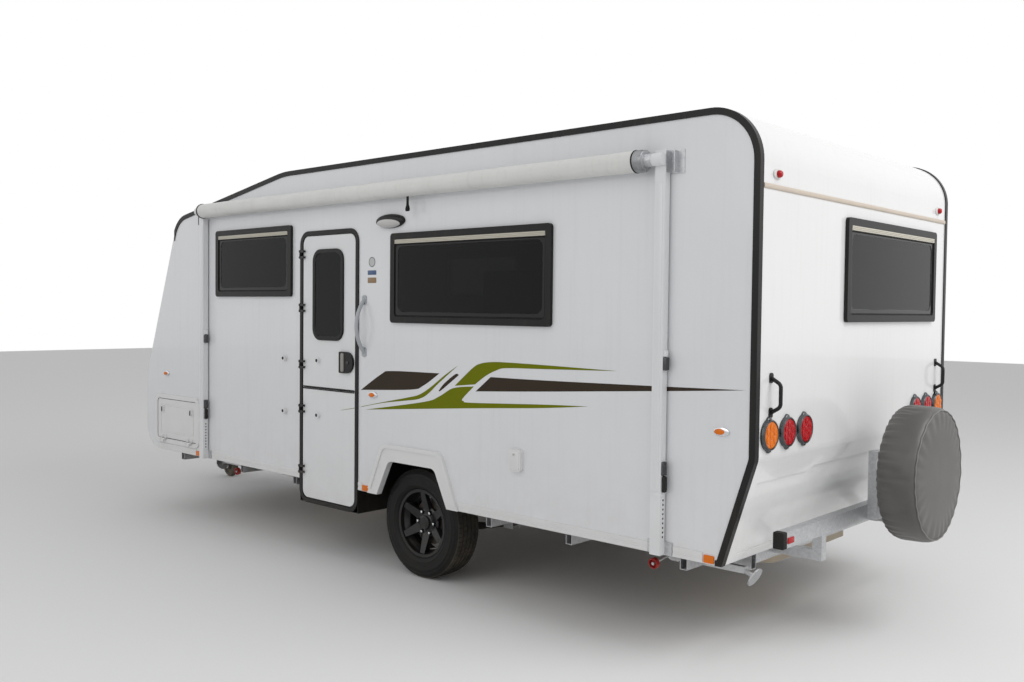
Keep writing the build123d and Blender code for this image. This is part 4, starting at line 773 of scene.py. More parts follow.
# Cast end caps: a wide collar beside the ring, stepped down to a waist, with a ring of studs round it. The
# front one is squeezed to a share of the rear one's length
cast_grey = finish("cast_grey", (0.34, 0.35, 0.36), 0.36, dust=0.1, tone=0.15, bump=0.2, metallic=0.8)
mesh = bmesh.new()
for end_x, way, share in ((roll_low[0], -1, 1.0), (roll_high[0], 1, 0.27)):
    cap_profile = [
        (0.0485, 0.001), (0.0530, 0.001), (0.0538, 0.003), (0.0538, 0.030 * share), (0.0512, 0.034 * share),
        (0.0505, 0.050 * share), (0.0485, 0.0515 * share),
    ]
    turned(mesh, cap_profile, Vector((end_x, roll_y, roll_z)), (way, 0, 0), 48, closed=True)
stud_count, stud_ring_r = 8, 0.0508
stud_profile = [(0.0, -0.001), (0.0042, -0.001), (0.0042, 0.0022), (0.0030, 0.0034), (0.0, 0.0034)]
for number in range(stud_count):
    angle = 2 * pi * (number + 0.5) / stud_count
    stud = Vector((roll_low[0] - 0.040, roll_y + stud_ring_r * cos(angle), roll_z + stud_ring_r * sin(angle)))
    turned(mesh, stud_profile, stud, (0, cos(angle), sin(angle)), 12)
piece("awning_end_caps", mesh, cast_grey, ROOT, sharp=30)
white_metal = finish("white_metal", **white_coat)
dress(["awning_arms"], white_metal)
arm_half = 0.029
hole_profile = [(0.0052, 0.0), (0.0052, 0.0006), (0.004, 0.0003), (0.0, 0.0003)]
hole_count, hole_low_z, hole_pitch = 9, 0.572, 0.022
for label, x in (("rear", -1.786), ("front", 2.345)):

    def arm_rear(out, z, depth):
        """A point on the arm's rearward side: out from the wall, above the ground, off the arm."""
        return place_left(x - arm_half - depth, z, out)

    def arm_section(u, v, height):
        """A point on a level cut through the arm: along the wall, out from it, above the ground."""
        return place_left(u, height, v)

    mesh = bmesh.new()
    border(
        mesh, arm_section, (x - 0.0315, x + 0.0315, 0.0085, 0.0525), 0.004,
        (x - 0.0288, x + 0.0288, 0.0102, 0.0498), 0.002, 0.768, 0.784, 0.001, 2,
    )
    plate(mesh, place_left, (x - 0.016, x + 0.016, 0.790, 2.250), 0.004, 0.0501, 0.0525, 0.0015)
    plate(mesh, arm_rear, (0.018, 0.042, 0.556, 0.764), 0.003, 0.0001, 0.0020, 0.001)
    plate(mesh, arm_rear, (0.017, 0.043, 1.430, 1.462), 0.006, 0.0001, 0.0130, 0.004)
    piece("awning_channels_" + label, mesh, white_metal, ROOT, sharp=30)
    # Adjuster holes down the inner channel: black dished discs of painted shade stand in for the dark inside
    # each hole.
    mesh = bmesh.new()
    for number in range(hole_count):
        hole = arm_rear(0.030, hole_low_z + hole_pitch * number, 0.0021)
        turned(mesh, hole_profile, hole, (-1, 0, 0), 12)
    piece("awning_hole_shade_" + label, mesh, black_plastic, ROOT)
    mesh = bmesh.new()
    plate(mesh, arm_rear, (0.014, 0.046, 1.366, 1.428), 0.005, 0.0001, 0.0170, 0.004)
    plate(mesh, arm_rear, (0.014, 0.046, 0.866, 0.932), 0.006, 0.0001, 0.0120, 0.004)
    plate(mesh, arm_rear, (0.020, 0.040, 0.874, 0.922), 0.005, 0.0121, 0.0150, 0.002)
    piece("awning_latch_" + label, mesh, dark_metal, ROOT, sharp=30)
    mesh = bmesh.new()
    plate(mesh, arm_rear, (0.017, 0.043, 0.786, 0.864), 0.010, 0.0040, 0.0180, 0.006, 8)
    piece("awning_lever_" + label, mesh, black_plastic, ROOT, sharp=30)

# Strap: a short pull of black webbing hangs from under the roll beside the door. Its end is sewn back on
# itself into a thick loop.
# Columns: height, half width, half thickness
strap_rows = [
    (2.310, 0.0105, 0.0012), (2.288, 0.0105, 0.0012), (2.266, 0.0105, 0.0012),
    (2.256, 0.0110, 0.0026), (2.246, 0.0135, 0.0050), (2.236, 0.0160, 0.0064),
    (2.228, 0.0168, 0.0060), (2.222, 0.0155, 0.0040), (2.219, 0.0130, 0.0012),
]
# Corners round the webbing, as shares of its half width and half thickness
strap_corners = [(-1, -0.6), (-0.8, -1), (0.8, -1), (1, -0.6), (1, 0.6), (0.8, 1), (-0.8, 1), (-1, 0.6)]
strap_x, strap_out = -0.020, 0.066
mesh = bmesh.new()
rows = []
for z, half, thick in strap_rows:
    spots = (place_left(strap_x + u * half, z, strap_out + v * thick) for u, v in strap_corners)
    rows.append([mesh.verts.new(spot) for spot in spots])
skin_between(mesh, rows)
mesh.faces.new(rows[0])
mesh.faces.new(rows[-1])
webbing = finish(
    "webbing", (0.012, 0.012, 0.012), 0.8, tone=0.3, grain_scale=1400.0, broad_share=0.1, bump=0.6,
    specular_ior_level=0.2,
)
piece("awning_strap", mesh, webbing, ROOT, sharp=50)

# Rear seam: a cream cover strip over the joint of the rear and roof skins. It is soft plastic, its edges
# rolled in, pressed on a hidden rail.
seam_z, seam_half = 2.210, 1.155
seam_section = [
    (-0.0115, 0.0), (-0.0115, 0.0035), (-0.0085, 0.0062), (-0.0030, 0.0070),
    (0.0030, 0.0070), (0.0085, 0.0062), (0.0115, 0.0035), (0.0115, 0.0),
]
mesh = bmesh.new()
run(mesh, place_rear, -seam_half, seam_half, [(seam_z + rise, out) for rise, out in seam_section])
seam_cream = finish("seam_cream", (0.60, 0.52, 0.43), 0.4, runs=0.1, tone=0.08, bump=0.1)
piece("rear_seam_strip", mesh, seam_cream, ROOT, sharp=40)


# Galvanised steel: the chassis, drawbar, bumper, steadies and jockey leg are dipped in zinc, which has a
# fine spangle and is duller and browner near the road. The steadies' screw guides are painted red.
def spangle_group():
    """The crystals of a zinc coat: a tone for each."""
    group, given, out = effect("spangle", [("Scale", 90.0), ("Contrast", 0.5)], ["Tone"])
    place = node(group, "TexCoord").outputs["Object"]
    bent = node(group, "TexNoise", {"Vector": place, "Scale": 14.0, "Detail": 2.0})
    moved = node(group, "VectorMath", {0: bent.outputs["Color"], "Scale": 0.02}, operation="SCALE")
    moved = node(group, "VectorMath", {0: place, 1: moved.outputs[0]}, operation="ADD")
    cells = node(group, "TexVoronoi", {"Vector": moved.outputs[0], "Scale": given.outputs["Scale"]})
    tone = node(group, "SeparateXYZ", {"Vector": cells.outputs["Color"]})
    tone = calc(group, "MULTIPLY", tone.outputs["X"], given.outputs["Contrast"])
    return put_out(group, out, {"Tone": tone})


galvanised = finish(
    "galvanised", (0.62, 0.63, 0.64), 0.40, dust=0.35, reach=0.75, tone=0.1, bump=0.1, metallic=0.75
)
crystals = use(galvanised.node_tree, spangle_group(), {"Scale": 90.0, "Contrast": 0.75})
overlay(galvanised, crystals.outputs["Tone"], (0.46, 0.47, 0.49))
dress(["awning_fittings", "bumper_bar", "chassis", "handbrake"], galvanised)
dress(["jockey_tube", "jockey_leg", "jockey_fork"], galvanised)
corners = ("rear_left", "rear_right", "front_left", "front_right")
dress(["steady_brackets"] + ["steady_leg_" + corner for corner in corners], galvanised)
guide_red = finish("guide_red", (0.42, 0.012, 0.01), 0.35, dust=0.4, reach=0.7, tone=0.15, bump=0.1)
dress(["steady_guides"], guide_red)

# Bumper ends: black rubber caps pressed over the open ends of the tube. They stand a little proud of it
# all round.
bumper_end_y = 0.985
cap_box = (-2.3225, -2.2675, 0.5555, 0.6355)
for side, way in (("left", 1), ("right", -1)):

    def bumper_end(x, z, out):
        """A point on the bumper's end, off it by out."""
        return at(x, way * (bumper_end_y + out), z)

    mesh = bmesh.new()
    plate(mesh, bumper_end, cap_box, 0.007, -0.028, 0.006, 0.004)
    piece("bumper_cap_" + side, mesh, rubber_black, ROOT, sharp=30)

# Running gear: springs, axle and coupling are painted black, under a coat of road dust. The brake drums
# are bare cast iron, rusted a little.
black_steel = finish("black_steel", (0.025, 0.025, 0.025), 0.5, dust=0.8, reach=0.6, tone=0.3)
dress(["leaf_springs", "axle_beam", "coupling"], black_steel)
drum_iron = finish("drum_iron", (0.07, 0.06, 0.055), 0.6, dust=0.6, reach=0.8, tone=0.4, bump=0.4)
dress(["brake_drum_left", "brake_drum_right"], drum_iron)

# Road wheels: gloss black cast alloy with six broad spokes, chromed nuts, a pressed black cap and a
# rubber valve. The tyre is a 205 mm road tyre with five ribs, sipes slanted outward and ring lines.
alloy_black = finish(
    "alloy_black", (0.006, 0.006, 0.007), 0.28, dust=0.06, reach=0.8, tone=0.2, coat_weight=0.2,
    specular_ior_level=0.3,
)
dress(["rim_left", "rim_right"], alloy_black)
rubber_grain = {
    "reach": 1.0, "tone": 0.3, "grain_scale": 500.0, "broad_scale": 12.0, "bump": 0.3,
    "specular_ior_level": 0.2,
}
tyre_rubber = finish(
    "tyre_rubber", (0.009, 0.009, 0.009), 0.55, dust=0.12, dusty=(0.10, 0.085, 0.07), **rubber_grain
)
tread_rubber = finish(
    "tread_rubber", (0.022, 0.021, 0.020), 0.8, dust=0.85, dusty=(0.13, 0.11, 0.085), **rubber_grain
)
wheel_r, wheel_y = 0.334, 1.027
tread_pitches, tread_half = 72, 0.08
tread_ribs = [(-0.0800, -0.0520), (-0.0440, -0.0200), (-0.0120, 0.0120), (0.0200, 0.0440), (0.0520, 0.0800)]
rib_edge, groove_taper = 0.001, 0.0007
groove_depth, sipe_depth, sipe_slant = 0.0075, 0.0055, 0.035
# Places round one pitch of the tread, each with the share of a sipe's depth that is cut there
pitch_cuts = ((0.0, 0.0), (0.88, 0.0), (0.905, 1.0), (0.975, 1.0))
# Columns: radius, distance off the tyre's middle
sidewall = [
    (0.1985, 0.0700), (0.2090, 0.0765), (0.2120, 0.0850), (0.2200, 0.0925), (0.2330, 0.0985),
    (0.2350, 0.1003), (0.2380, 0.1005), (0.2400, 0.0995), (0.2600, 0.1022), (0.2780, 0.1015),
    (0.2800, 0.1024), (0.2830, 0.1022), (0.2850, 0.1005), (0.2990, 0.0975), (0.3010, 0.0984),
    (0.3040, 0.0975), (0.3055, 0.0955), (0.3170, 0.0890), (0.3250, 0.0840),
]
crown_fall = 0.0035


def tread_top(y):
    """The tread's radius at a place across it."""
    return wheel_r - crown_fall * min(1.0, abs(y) / tread_half) ** 3


def tyre_mesh():
    """A tyre about the axle's end at the origin, its outer side along +Y."""
    mesh = bmesh.new()
    across = [(r, -y, 0.0) for r, y in sidewall]
    for number, (y_low, y_high) in enumerate(tread_ribs):
        if number:
            across.append((tread_top(y_low) - groove_depth, y_low - groove_taper, 0.0))
        for y, share in ((y_low, 0.6), (y_low + rib_edge, 1.0), (y_high - rib_edge, 1.0), (y_high, 0.6)):
            across.append((tread_top(y), y, share * sipe_depth))
        if number < len(tread_ribs) - 1:
            across.append((tread_top(y_high) - groove_depth, y_high + groove_taper, 0.0))
    across += [(r, y, 0.0) for r, y in reversed(sidewall)]
    rings = []
    for pitch in range(tread_pitches):
        for share, cut in pitch_cuts:
            ring = []
            for r, y, depth in across:
                slant = sipe_slant * abs(y) / tread_half if abs(y) < tread_half + rib_edge else sipe_slant
                angle = 2 * pi * (pitch + share) / tread_pitches + slant
                radius = r - cut * depth
                ring.append(mesh.verts.new((radius * cos(angle), y, radius * sin(angle))))
            rings.append(ring)
    for a, b in zip(rings, rings[1:] + rings[:1]):
        for k in range(len(across) - 1):
            face = mesh.faces.new((a[k], a[k + 1], b[k + 1], b[k]))
            face.material_index = int(len(sidewall) - 1 <= k < len(across) - len(sidewall))
    bmesh.ops.recalc_face_normals(mesh, faces=mesh.faces)
    return mesh


chrome = finish("chrome", (0.72, 0.73, 0.75), 0.12, dust=0.15, tone=0.05, bump=0.02, metallic=1.0)
nut_count, stud_r, stud_out = 6, 0.06985, 0.0245
nut_collar = [(0.0125, 0.0), (0.0125, 0.005), (0.0098, 0.009)]
nut_hexagon = [(0.0098, 0.009), (0.0098, 0.024), (0.0080, 0.0275), (0.0040, 0.0290), (0.0, 0.0293)]
hub_cap = [
    (0.0398, 0.0505), (0.0440, 0.0510), (0.0445, 0.0560), (0.0420, 0.0610), (0.0340, 0.0640),
    (0.0330, 0.0632), (0.0310, 0.0632), (0.0300, 0.0645), (0.0160, 0.0660), (0.0, 0.0664),
]
valve_angle, valve_r, valve_out, valve_lean = pi / 6 + pi, 0.166, 0.032, 0.25
valve_stem = [
    (0.0065, -0.004), (0.0062, 0.004), (0.0045, 0.010), (0.0042, 0.024),
    (0.0050, 0.025), (0.0050, 0.034), (0.0035, 0.036), (0.0, 0.036),
]
for side, way in (("left", 1), ("right", -1)):
    body = "wheel_" + side
    centre = at(0, way * wheel_y, wheel_r)
    outward = Vector((0, way, 0))
    mesh = tyre_mesh()
    mirrored = Matrix.Translation(centre) @ Matrix.Scale(way, 4, (0, 1, 0))
    bmesh.ops.transform(mesh, verts=mesh.verts, matrix=mirrored)
    tyre = piece("tyre_tread_" + side, mesh, tyre_rubber, body, sharp=32)
    tyre.data.materials.append(tread_rubber)
    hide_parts("tyre_" + side)
    mesh = bmesh.new()
    for number in range(nut_count):
        angle = 2 * pi * number / nut_count
        stud = centre + Vector((stud_r * cos(angle), way * stud_out, stud_r * sin(angle)))
        turned(mesh, nut_collar, stud, outward, 24)
        turned(mesh, nut_hexagon, stud, outward, 6)
    piece("wheel_nuts_" + side, mesh, chrome, body, sharp=25)
    mesh = bmesh.new()
    turned(mesh, hub_cap, centre, outward, 48)
    piece("wheel_cap_" + side, mesh, alloy_black, body, sharp=40)
    mesh = bmesh.new()
    base = centre + Vector((valve_r * cos(valve_angle), way * valve_out, valve_r * sin(valve_angle)))
    lean = Vector((-valve_lean * cos(valve_angle), way, -valve_lean * sin(valve_angle)))
    turned(mesh, valve_stem, base, lean, 16)
    piece("wheel_valve_" + side, mesh, rubber_black, body)

# Lamps: round tail lamps in dark lugged bezels, red inboard and amber outermost, each with seven
# lens cells. Side and roof markers are small domes on oval bases, and the rest flat reflectors.
lens_gloss = {"roughness": 0.16, "tone": 0.15, "grain_scale": 220.0, "bump": 0.05, "specular_ior_level": 0.35}
lamp_red = finish("lamp_red", (0.46, 0.003, 0.008), **lens_gloss)
lamp_amber = finish("lamp_amber", (0.80, 0.18, 0.002), **lens_gloss)
bezel_grey = finish("bezel_grey", (0.10, 0.105, 0.11), 0.24, dust=0.1, tone=0.08, bump=0.05, metallic=0.9)
marker_base = finish("marker_base", (0.70, 0.70, 0.68), 0.35, dust=0.1, tone=0.05, bump=0.05)
lamp_z, lamp_y = 1.090, (0.720, 0.895, 1.070)
roof_marker_y, roof_marker_z = 1.030, 2.270
side_marker_x, side_marker_z = (2.956, 0.362, -2.110), 1.100
bumper_face_x, rear_reflector_y = -2.320, 0.918
# Columns: centre forward of the axle and above the ground, width
side_reflectors = [(2.462, 0.502, 0.076), (0.434, 0.502, 0.060), (-2.054, 0.504, 0.054)]
bezel_ring = [
    (0.0614, 0.0), (0.0620, 0.0190), (0.0640, 0.0215), (0.0680, 0.0205), (0.0718, 0.0150), (0.0735, 0.0),
]
bezel_lugs = [(1.0, 0.0001), (1.0, 0.006), (0.975, 0.0095), (0.93, 0.012), (0.86, 0.013)]
tail_lens = [(0.0, 0.0), (0.0612, 0.0), (0.0612, 0.0165), (0.0590, 0.0190), (0.0450, 0.0205), (0.0, 0.0215)]
cells_round, cell_reach, cell_out = 6, 0.037, 0.0195
lens_cell = [
    (0.0172, 0.0), (0.0172, 0.0026), (0.0160, 0.0034), (0.0148, 0.0026), (0.0125, 0.0026), (0.0070, 0.0042),
    (0.0, 0.0047),
]
roof_base = [(1.0, 0.0001), (1.0, 0.004), (0.95, 0.0065), (0.6, 0.0085), (0.2, 0.009)]
roof_lens = [(1.0, 0.007), (1.0, 0.014), (0.92, 0.0195), (0.74, 0.0235), (0.45, 0.0255), (0.15, 0.026)]
side_base = [(1.0, 0.0001), (1.0, 0.006), (0.96, 0.009), (0.85, 0.0105), (0.5, 0.0112), (0.15, 0.0115)]
side_lens = [(1.0, 0.0085), (1.0, 0.0125), (0.9, 0.0152), (0.6, 0.0168), (0.2, 0.0174)]
rearward = Vector((-1, 0, 0))
lenses = {"red": bmesh.new(), "amber": bmesh.new()}
bezels, chromed, pale_bases = bmesh.new(), bmesh.new(), bmesh.new()


def bumper_face(y, z, out):
    """A point on the bumper tube's rear face."""
    return at(bumper_face_x - out, y, z)


for way in (1, -1):
    for y in lamp_y:
        lens = lenses["amber" if y == lamp_y[-1] else "red"]
        centre = place_rear(way * y, lamp_z, 0.0)
        turned(bezels, bezel_ring, centre, rearward, 64, closed=True)
        oval(bezels, place_rear, (way * y, lamp_z), (0.042, 0.0835), bezel_lugs, 48)
        turned(lens, tail_lens, centre, rearward, 64)
        for cell in range(cells_round + 1):
            reach, angle = (0.0, 0.0) if cell == cells_round else (cell_reach, pi / 3 * cell)
            spot = place_rear(way * y + reach * sin(angle), lamp_z + reach * cos(angle), cell_out)
            turned(lens, lens_cell, spot, rearward, 28)
    roof_marker = (way * roof_marker_y, roof_marker_z)
    oval(pale_bases, place_rear, roof_marker, (0.040, 0.024), roof_base)
    oval(lenses["red"], place_rear, roof_marker, (0.020, 0.017), roof_lens, 32)
    y = way * rear_reflector_y
    plate(lenses["red"], bumper_face, (y - 0.030, y + 0.030, 0.578, 0.606), 0.004, 0.0001, 0.0055, 0.0015)
for place in (place_left, place_right):
    for x in side_marker_x:
        oval(chromed, place, (x, side_marker_z), (0.042, 0.020), side_base)
        oval(lenses["amber"], place, (x + 0.008, side_marker_z), (0.026, 0.0138), side_lens, 32)
    for x, z, width in side_reflectors:
        box = (x - width / 2, x + width / 2, z - 0.018, z + 0.018)
        plate(lenses["amber"], place, box, 0.003, 0.0001, 0.0075, 0.0015)
piece("lamp_bezels", bezels, bezel_grey, ROOT, sharp=40)
piece("marker_bases_side", chromed, chrome, ROOT, sharp=40)
piece("marker_bases_roof", pale_bases, marker_base, ROOT, sharp=40)
for label, material in (("red", lamp_red), ("amber", lamp_amber)):
    made = piece("lamp_lenses_" + label, lenses[label], material, ROOT, sharp=40)
    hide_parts("lamps_" + label)

# Spare wheel: a tyre on a plain steel wheel, under a fitted black vinyl cover. The cover's round
# face is piped to a skirt, which is gathered and drawn in by elastic on the caravan's side.
cover_low, cover_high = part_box("spare_cover")
cover_y, cover_z = (cover_low[1] + cover_high[1]) / 2, (cover_low[2] + cover_high[2]) / 2
cover_r = (cover_high[1] - cover_low[1]) / 2
cover_w = cover_high[0] - cover_low[0]
cover_front = Vector((cover_high[0], cover_y, cover_z))
spare_steel = finish("spare_steel", (0.2, 0.2, 0.2), 0.5, tone=0.2, bump=0.1, metallic=0.5)
spare_tyre_profile = [
    (0.214, 0.022), (0.225, 0.006), (0.285, 0.002), (0.322, 0.016),
    (0.333, 0.045), (0.333, 0.160), (0.316, 0.188), (0.0, 0.190),
]
spare_wheel_profile = [
    (0.0, 0.060), (0.034, 0.060), (0.040, 0.030), (0.075, 0.024), (0.110, 0.040),
    (0.150, 0.052), (0.190, 0.040), (0.196, 0.012), (0.206, 0.008), (0.212, 0.024),
]
mesh = bmesh.new()
turned(mesh, spare_tyre_profile, cover_front, rearward, 72)
piece("spare_tyre", mesh, tyre_rubber, ROOT, sharp=40)
mesh = bmesh.new()
turned(mesh, spare_wheel_profile, cover_front, rearward, 72)
piece("spare_wheel", mesh, spare_steel, ROOT, sharp=40)
# Columns: share of the radius, share of the width from the caravan's side to the rear
cover_line = [
    (0.790, 0.030), (0.830, 0.004), (0.890, 0.010), (0.940, 0.050), (0.970, 0.120),
    (0.982, 0.220), (0.984, 0.340), (0.980, 0.460), (0.978, 0.580), (0.976, 0.700),
    (0.970, 0.800), (0.955, 0.880), (0.925, 0.940), (0.880, 0.960), (0.780, 0.972),
    (0.650, 0.982), (0.500, 0.988), (0.350, 0.991), (0.200, 0.993), (0.080, 0.994),
]
gathers, cover_steps, longest_edge = 44, 352, 0.030
# Dents in the skirt, columns: angle from the door side, share of the width, depth, reach round the skirt
cover_dents = [
    (0.14, 0.36, 0.009, 0.060), (0.02, 0.62, 0.006, 0.045), (-0.16, 0.42, 0.009, 0.075),
    (-0.44, 0.60, 0.006, 0.050), (0.42, 0.52, 0.006, 0.060), (1.30, 0.46, 0.005, 0.080),
    (1.90, 0.40, 0.006, 0.070), (-2.30, 0.36, 0.007, 0.080), (-1.15, 0.50, 0.006, 0.070),
    (2.80, 0.50, 0.005, 0.060),
]


def cover_point(turn, share_r, share_w):
    """A point on the cover: gathers fade from the elastic, short pleats run in from the piping."""
    angle = 2 * pi * turn
    near_elastic = max(0.0, 1.0 - share_w / 0.55)
    wave = sin(gathers * angle + 1.3 * sin(5 * angle)) + 0.35 * sin(92 * angle + 0.7)
    radius = cover_r * share_r - 0.0045 * near_elastic**1.4 * (0.65 + wave) * (share_r > 0.8)
    if share_r > 0.9:
        slack = sin(pi * min(1.0, share_w))
        radius += 0.0035 * max(0.0, -sin(angle)) * slack
        radius += (0.0022 * sin(3 * angle + 1.0) + 0.0014 * sin(8 * angle + 0.4)) * slack
        for dent_angle, dent_w, deep, reach in cover_dents:
            off = (angle - dent_angle + pi) % (2 * pi) - pi
            radius -= deep * exp(-((off / reach) ** 2) - ((share_w - dent_w) / 0.15) ** 2)
    pleat = 0.0026 * sin(27 * angle + 2.0 * sin(3 * angle)) * exp(-(((share_r - 0.86) / 0.10) ** 2))
    billow = 0.0012 * sin(2 * angle + 0.8) * share_r + 0.0008 * sin(5 * angle) * share_r**2
    dish = 0.004 * share_r**2
    depth = cover_w * share_w - (pleat + billow + dish) * (share_w > 0.93)
    return cover_front + Vector((-depth, radius * cos(angle), radius * sin(angle)))


mesh = bmesh.new()
rings = []
for share_r, share_w in cover_line:
    spots = (cover_point(k / cover_steps, share_r, share_w) for k in range(cover_steps))
    rings.append([mesh.verts.new(spot) for spot in spots])
skin_between(mesh, rings)
hub_point = mesh.verts.new(cover_front + Vector((-cover_w * cover_line[-1][1], 0, 0)))
for k in range(cover_steps):
    mesh.faces.new((rings[-1][k], rings[-1][(k + 1) % cover_steps], hub_point))
long_edges = [edge for edge in mesh.edges if edge.calc_length() > longest_edge]
bmesh.ops.subdivide_edges(mesh, edges=long_edges, cuts=1, use_grid_fill=True)
cover_vinyl = finish(
    "cover_vinyl", (0.110, 0.106, 0.101), 0.40, dust=0.15, reach=1.3, dusty=(0.18, 0.165, 0.145), tone=0.2,
    grain_scale=420.0, broad_scale=9.0, broad_share=0.35, bump=0.35, bump_distance=0.002,
)
piping_grey = finish(
    "piping_grey", (0.20, 0.195, 0.185), 0.5, dust=0.1, reach=1.3, tone=0.1, grain_scale=900.0, bump=0.2
)
cover_area = sum(face.calc_area() for face in mesh.faces)
cover = piece("spare_cover_vinyl", mesh, cover_vinyl, ROOT, sharp=60)
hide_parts("spare_cover")
piping = bmesh.new()
piping_r, piping_steps, piping_round = 0.0034, 176, 8
rings = []
for step in range(piping_steps):
    angle = 2 * pi * step / piping_steps
    spot, outward = cover_point(step / piping_steps, 0.932, 0.945), Vector((0, cos(angle), sin(angle)))
    turns = (2 * pi * k / piping_round for k in range(piping_round))
    sides = (outward * cos(turn) + rearward * sin(turn) for turn in turns)
    rings.append([piping.verts.new(spot + piping_r * towards) for towards in sides])
skin_between(piping, rings + rings[:1])
piping = piece("spare_cover_piping", piping, piping_grey, ROOT, sharp=60)

# Water tanks: each is rotomoulded in one hollow piece from unpigmented polyethylene, pale and a little
# yellow. They hang under the floor, in the spray from the road.
tank_plastic = finish("tank_plastic", (0.46, 0.39, 0.29), 0.5, dust=0.5, reach=0.8, tone=0.12, bump=0.2)
dress(["water_tanks"], tank_plastic)

# Gas bottles: two welded steel bottles in grey enamel, each with a guard collar round its neck. They
# stand side by side on a tray over the drawbar.
bottle_grey = finish("bottle_grey", (0.36, 0.37, 0.38), 0.4, dust=0.3, reach=1.0, tone=0.12, bump=0.15)
dress(["gas_bottles"], bottle_grey)

# Jockey wheel: a solid black rubber roller that turns on a pin through its fork. It is dusty all over,
# because it rolls on the ground.
castor_rubber = finish("castor_rubber", (0.03, 0.029, 0.028), 0.7, dust=0.6, reach=0.4, tone=0.3, bump=0.3)
dress(["jockey_wheel"], castor_rubber)

# Roof unit and hatch: rows of louvres along both sides of the cooler's housing let its air through. The
# hatch's lid is stiffened by five ribs moulded on its top.
cooler_low, cooler_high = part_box("roof_cooler")
row_count, row_pitch, row_inset, row_sunk = 6, 0.018, 0.17, 0.012
mesh = bmesh.new()
for side_y, way in ((cooler_high[1], 1), (cooler_low[1], -1)):

    def cooler_side(x, z, out):
        """A point off the plane that the louvres start from, a little inside the housing."""
        return Vector((x, side_y + way * (out - row_sunk), z))

    for number in range(row_count):
        z = cooler_low[2] + 0.055 + row_pitch * number
        box = (cooler_low[0] + row_inset, cooler_high[0] - row_inset, z, z + louvre_h)
        plate(mesh, cooler_side, box, 0.004, 0.0, 0.013, 0.002)
piece("cooler_louvres", mesh, louvre_grey, ROOT, sharp=30)
lid_low, lid_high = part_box("roof_hatch_lid")
rib_count, rib_half, rib_margin, rib_inset = 5, 0.012, 0.09, 0.07


def lid_top(x, y, out):
    """A point on the hatch lid's top."""
    return Vector((x, y, lid_high[2] + out))


mesh = bmesh.new()
for number in range(rib_count):
    y = lid_low[1] + rib_margin + number * (lid_high[1] - lid_low[1] - 2 * rib_margin) / (rib_count - 1)
    box = (lid_low[0] + rib_inset, lid_high[0] - rib_inset, y - rib_half, y + rib_half)
    plate(mesh, lid_top, box, 0.011, -0.001, 0.006, 0.004)
piece("hatch_ribs", mesh, hatch_acrylic, "roof_hatch", sharp=40)


# Furniture: ply carcasses faced in pale streaked wood and screwed to the walls and floor. The doors have
# turned black knobs, and a pressed steel sink is let into the worktop.
def figure_group():
    """Wood figure: the tone of long streaks along X."""
    group, given, out = effect("wood_figure", [("Streak", 9.0)], ["Tone"])
    place = node(group, "TexCoord").outputs["Object"]
    drawn = node(group, "Mapping", {"Vector": place, "Scale": (0.16, 1.0, 1.0)}).outputs[0]
    streaks = {"Vector": drawn, "Scale": given.outputs["Streak"], "Detail": 5.0, "Distortion": 1.2}
    streak = node(group, "TexNoise", streaks)
    tone = node(group, "MapRange", {"Value": streak.outputs["Fac"], "From Min": 0.35, "From Max": 0.65})
    return put_out(group, out, {"Tone": tone.outputs[0]})


cabinet_wood = finish("cabinet_wood", (0.44, 0.29, 0.16), 0.42, tone=0.1, bump=0.1)
figure = use(cabinet_wood.node_tree, figure_group(), {"Streak": 9.0})
overlay(cabinet_wood, figure.outputs["Tone"], (0.30, 0.18, 0.09))
dress(["furniture"], cabinet_wood)
# Columns: forward of the axle, left of the middle, above the ground, and the way it faces across
knob_table = [(x, -0.602, 1.290, 1) for x in (-1.080, -0.900, -0.110, 0.070, 0.560)]
knob_table += [(0.650, -0.602, z, 1) for z in (1.02, 1.30)]
knob_table += [(x, 0.562, 1.220, -1) for x in (-0.060, 0.080)]
knob_profile = [(0.006, 0.0), (0.006, 0.012), (0.014, 0.018), (0.015, 0.022), (0.012, 0.026), (0.0, 0.027)]
knobs = bmesh.new()
for x, y, z, way in knob_table:
    turned(knobs, knob_profile, at(x, y, z), (0, way, 0), 20)
piece("cupboard_knobs", knobs, black_plastic, ROOT, sharp=40)
bright_metal = finish("bright_metal", (0.62, 0.63, 0.65), 0.22, dust=0.1, tone=0.08, bump=0.02, metallic=1.0)
bowl_z, worktop_z = 1.3941, 1.4201
mesh = bmesh.new()
plate(
    mesh, lambda x, y, up: at(x, y, bowl_z + up), (-1.136, -0.744, -1.048, -0.693), 0.055,
    0.0, 0.0012, 0.001, 8,
)
border(
    mesh, lambda x, y, up: at(x, y, worktop_z + up), (-1.152, -0.728, -1.064, -0.677), 0.072,
    (-1.142, -0.738, -1.054, -0.687), 0.062, 0.0, 0.003, 0.001, 8,
)
piece("kitchen_sink", mesh, bright_metal, ROOT, sharp=30)


# Cushions: cut foam pads in woven covers, crowned by the pull of the cloth. The seats and backs are loose
# on the bench lockers, and the mattress lies on the bed base.
def weave_group():
    """A plain weave: two sets of threads that cross, and flecks of a second shade."""
    group, given, out = effect("plain_weave", [("Threads", 900.0)], ["Height", "Tone"])
    place = node(group, "TexCoord").outputs["Object"]
    axes = node(group, "SeparateXYZ", {"Vector": place}).outputs
    phases = [calc(group, "MULTIPLY", axes[label], given.outputs["Threads"]) for label in ("X", "Y", "Z")]
    waves = [calc(group, "SINE", phase) for phase in phases]
    crossed = calc(group, "MULTIPLY", waves[0], waves[1])
    crossed = calc(group, "MULTIPLY_ADD", waves[2], 0.5, crossed)
    flecks = node(group, "TexNoise", {"Vector": place, "Scale": 60.0, "Detail": 4.0})
    return put_out(group, out, {"Height": crossed, "Tone": flecks.outputs["Fac"]})


plain_weave = weave_group()


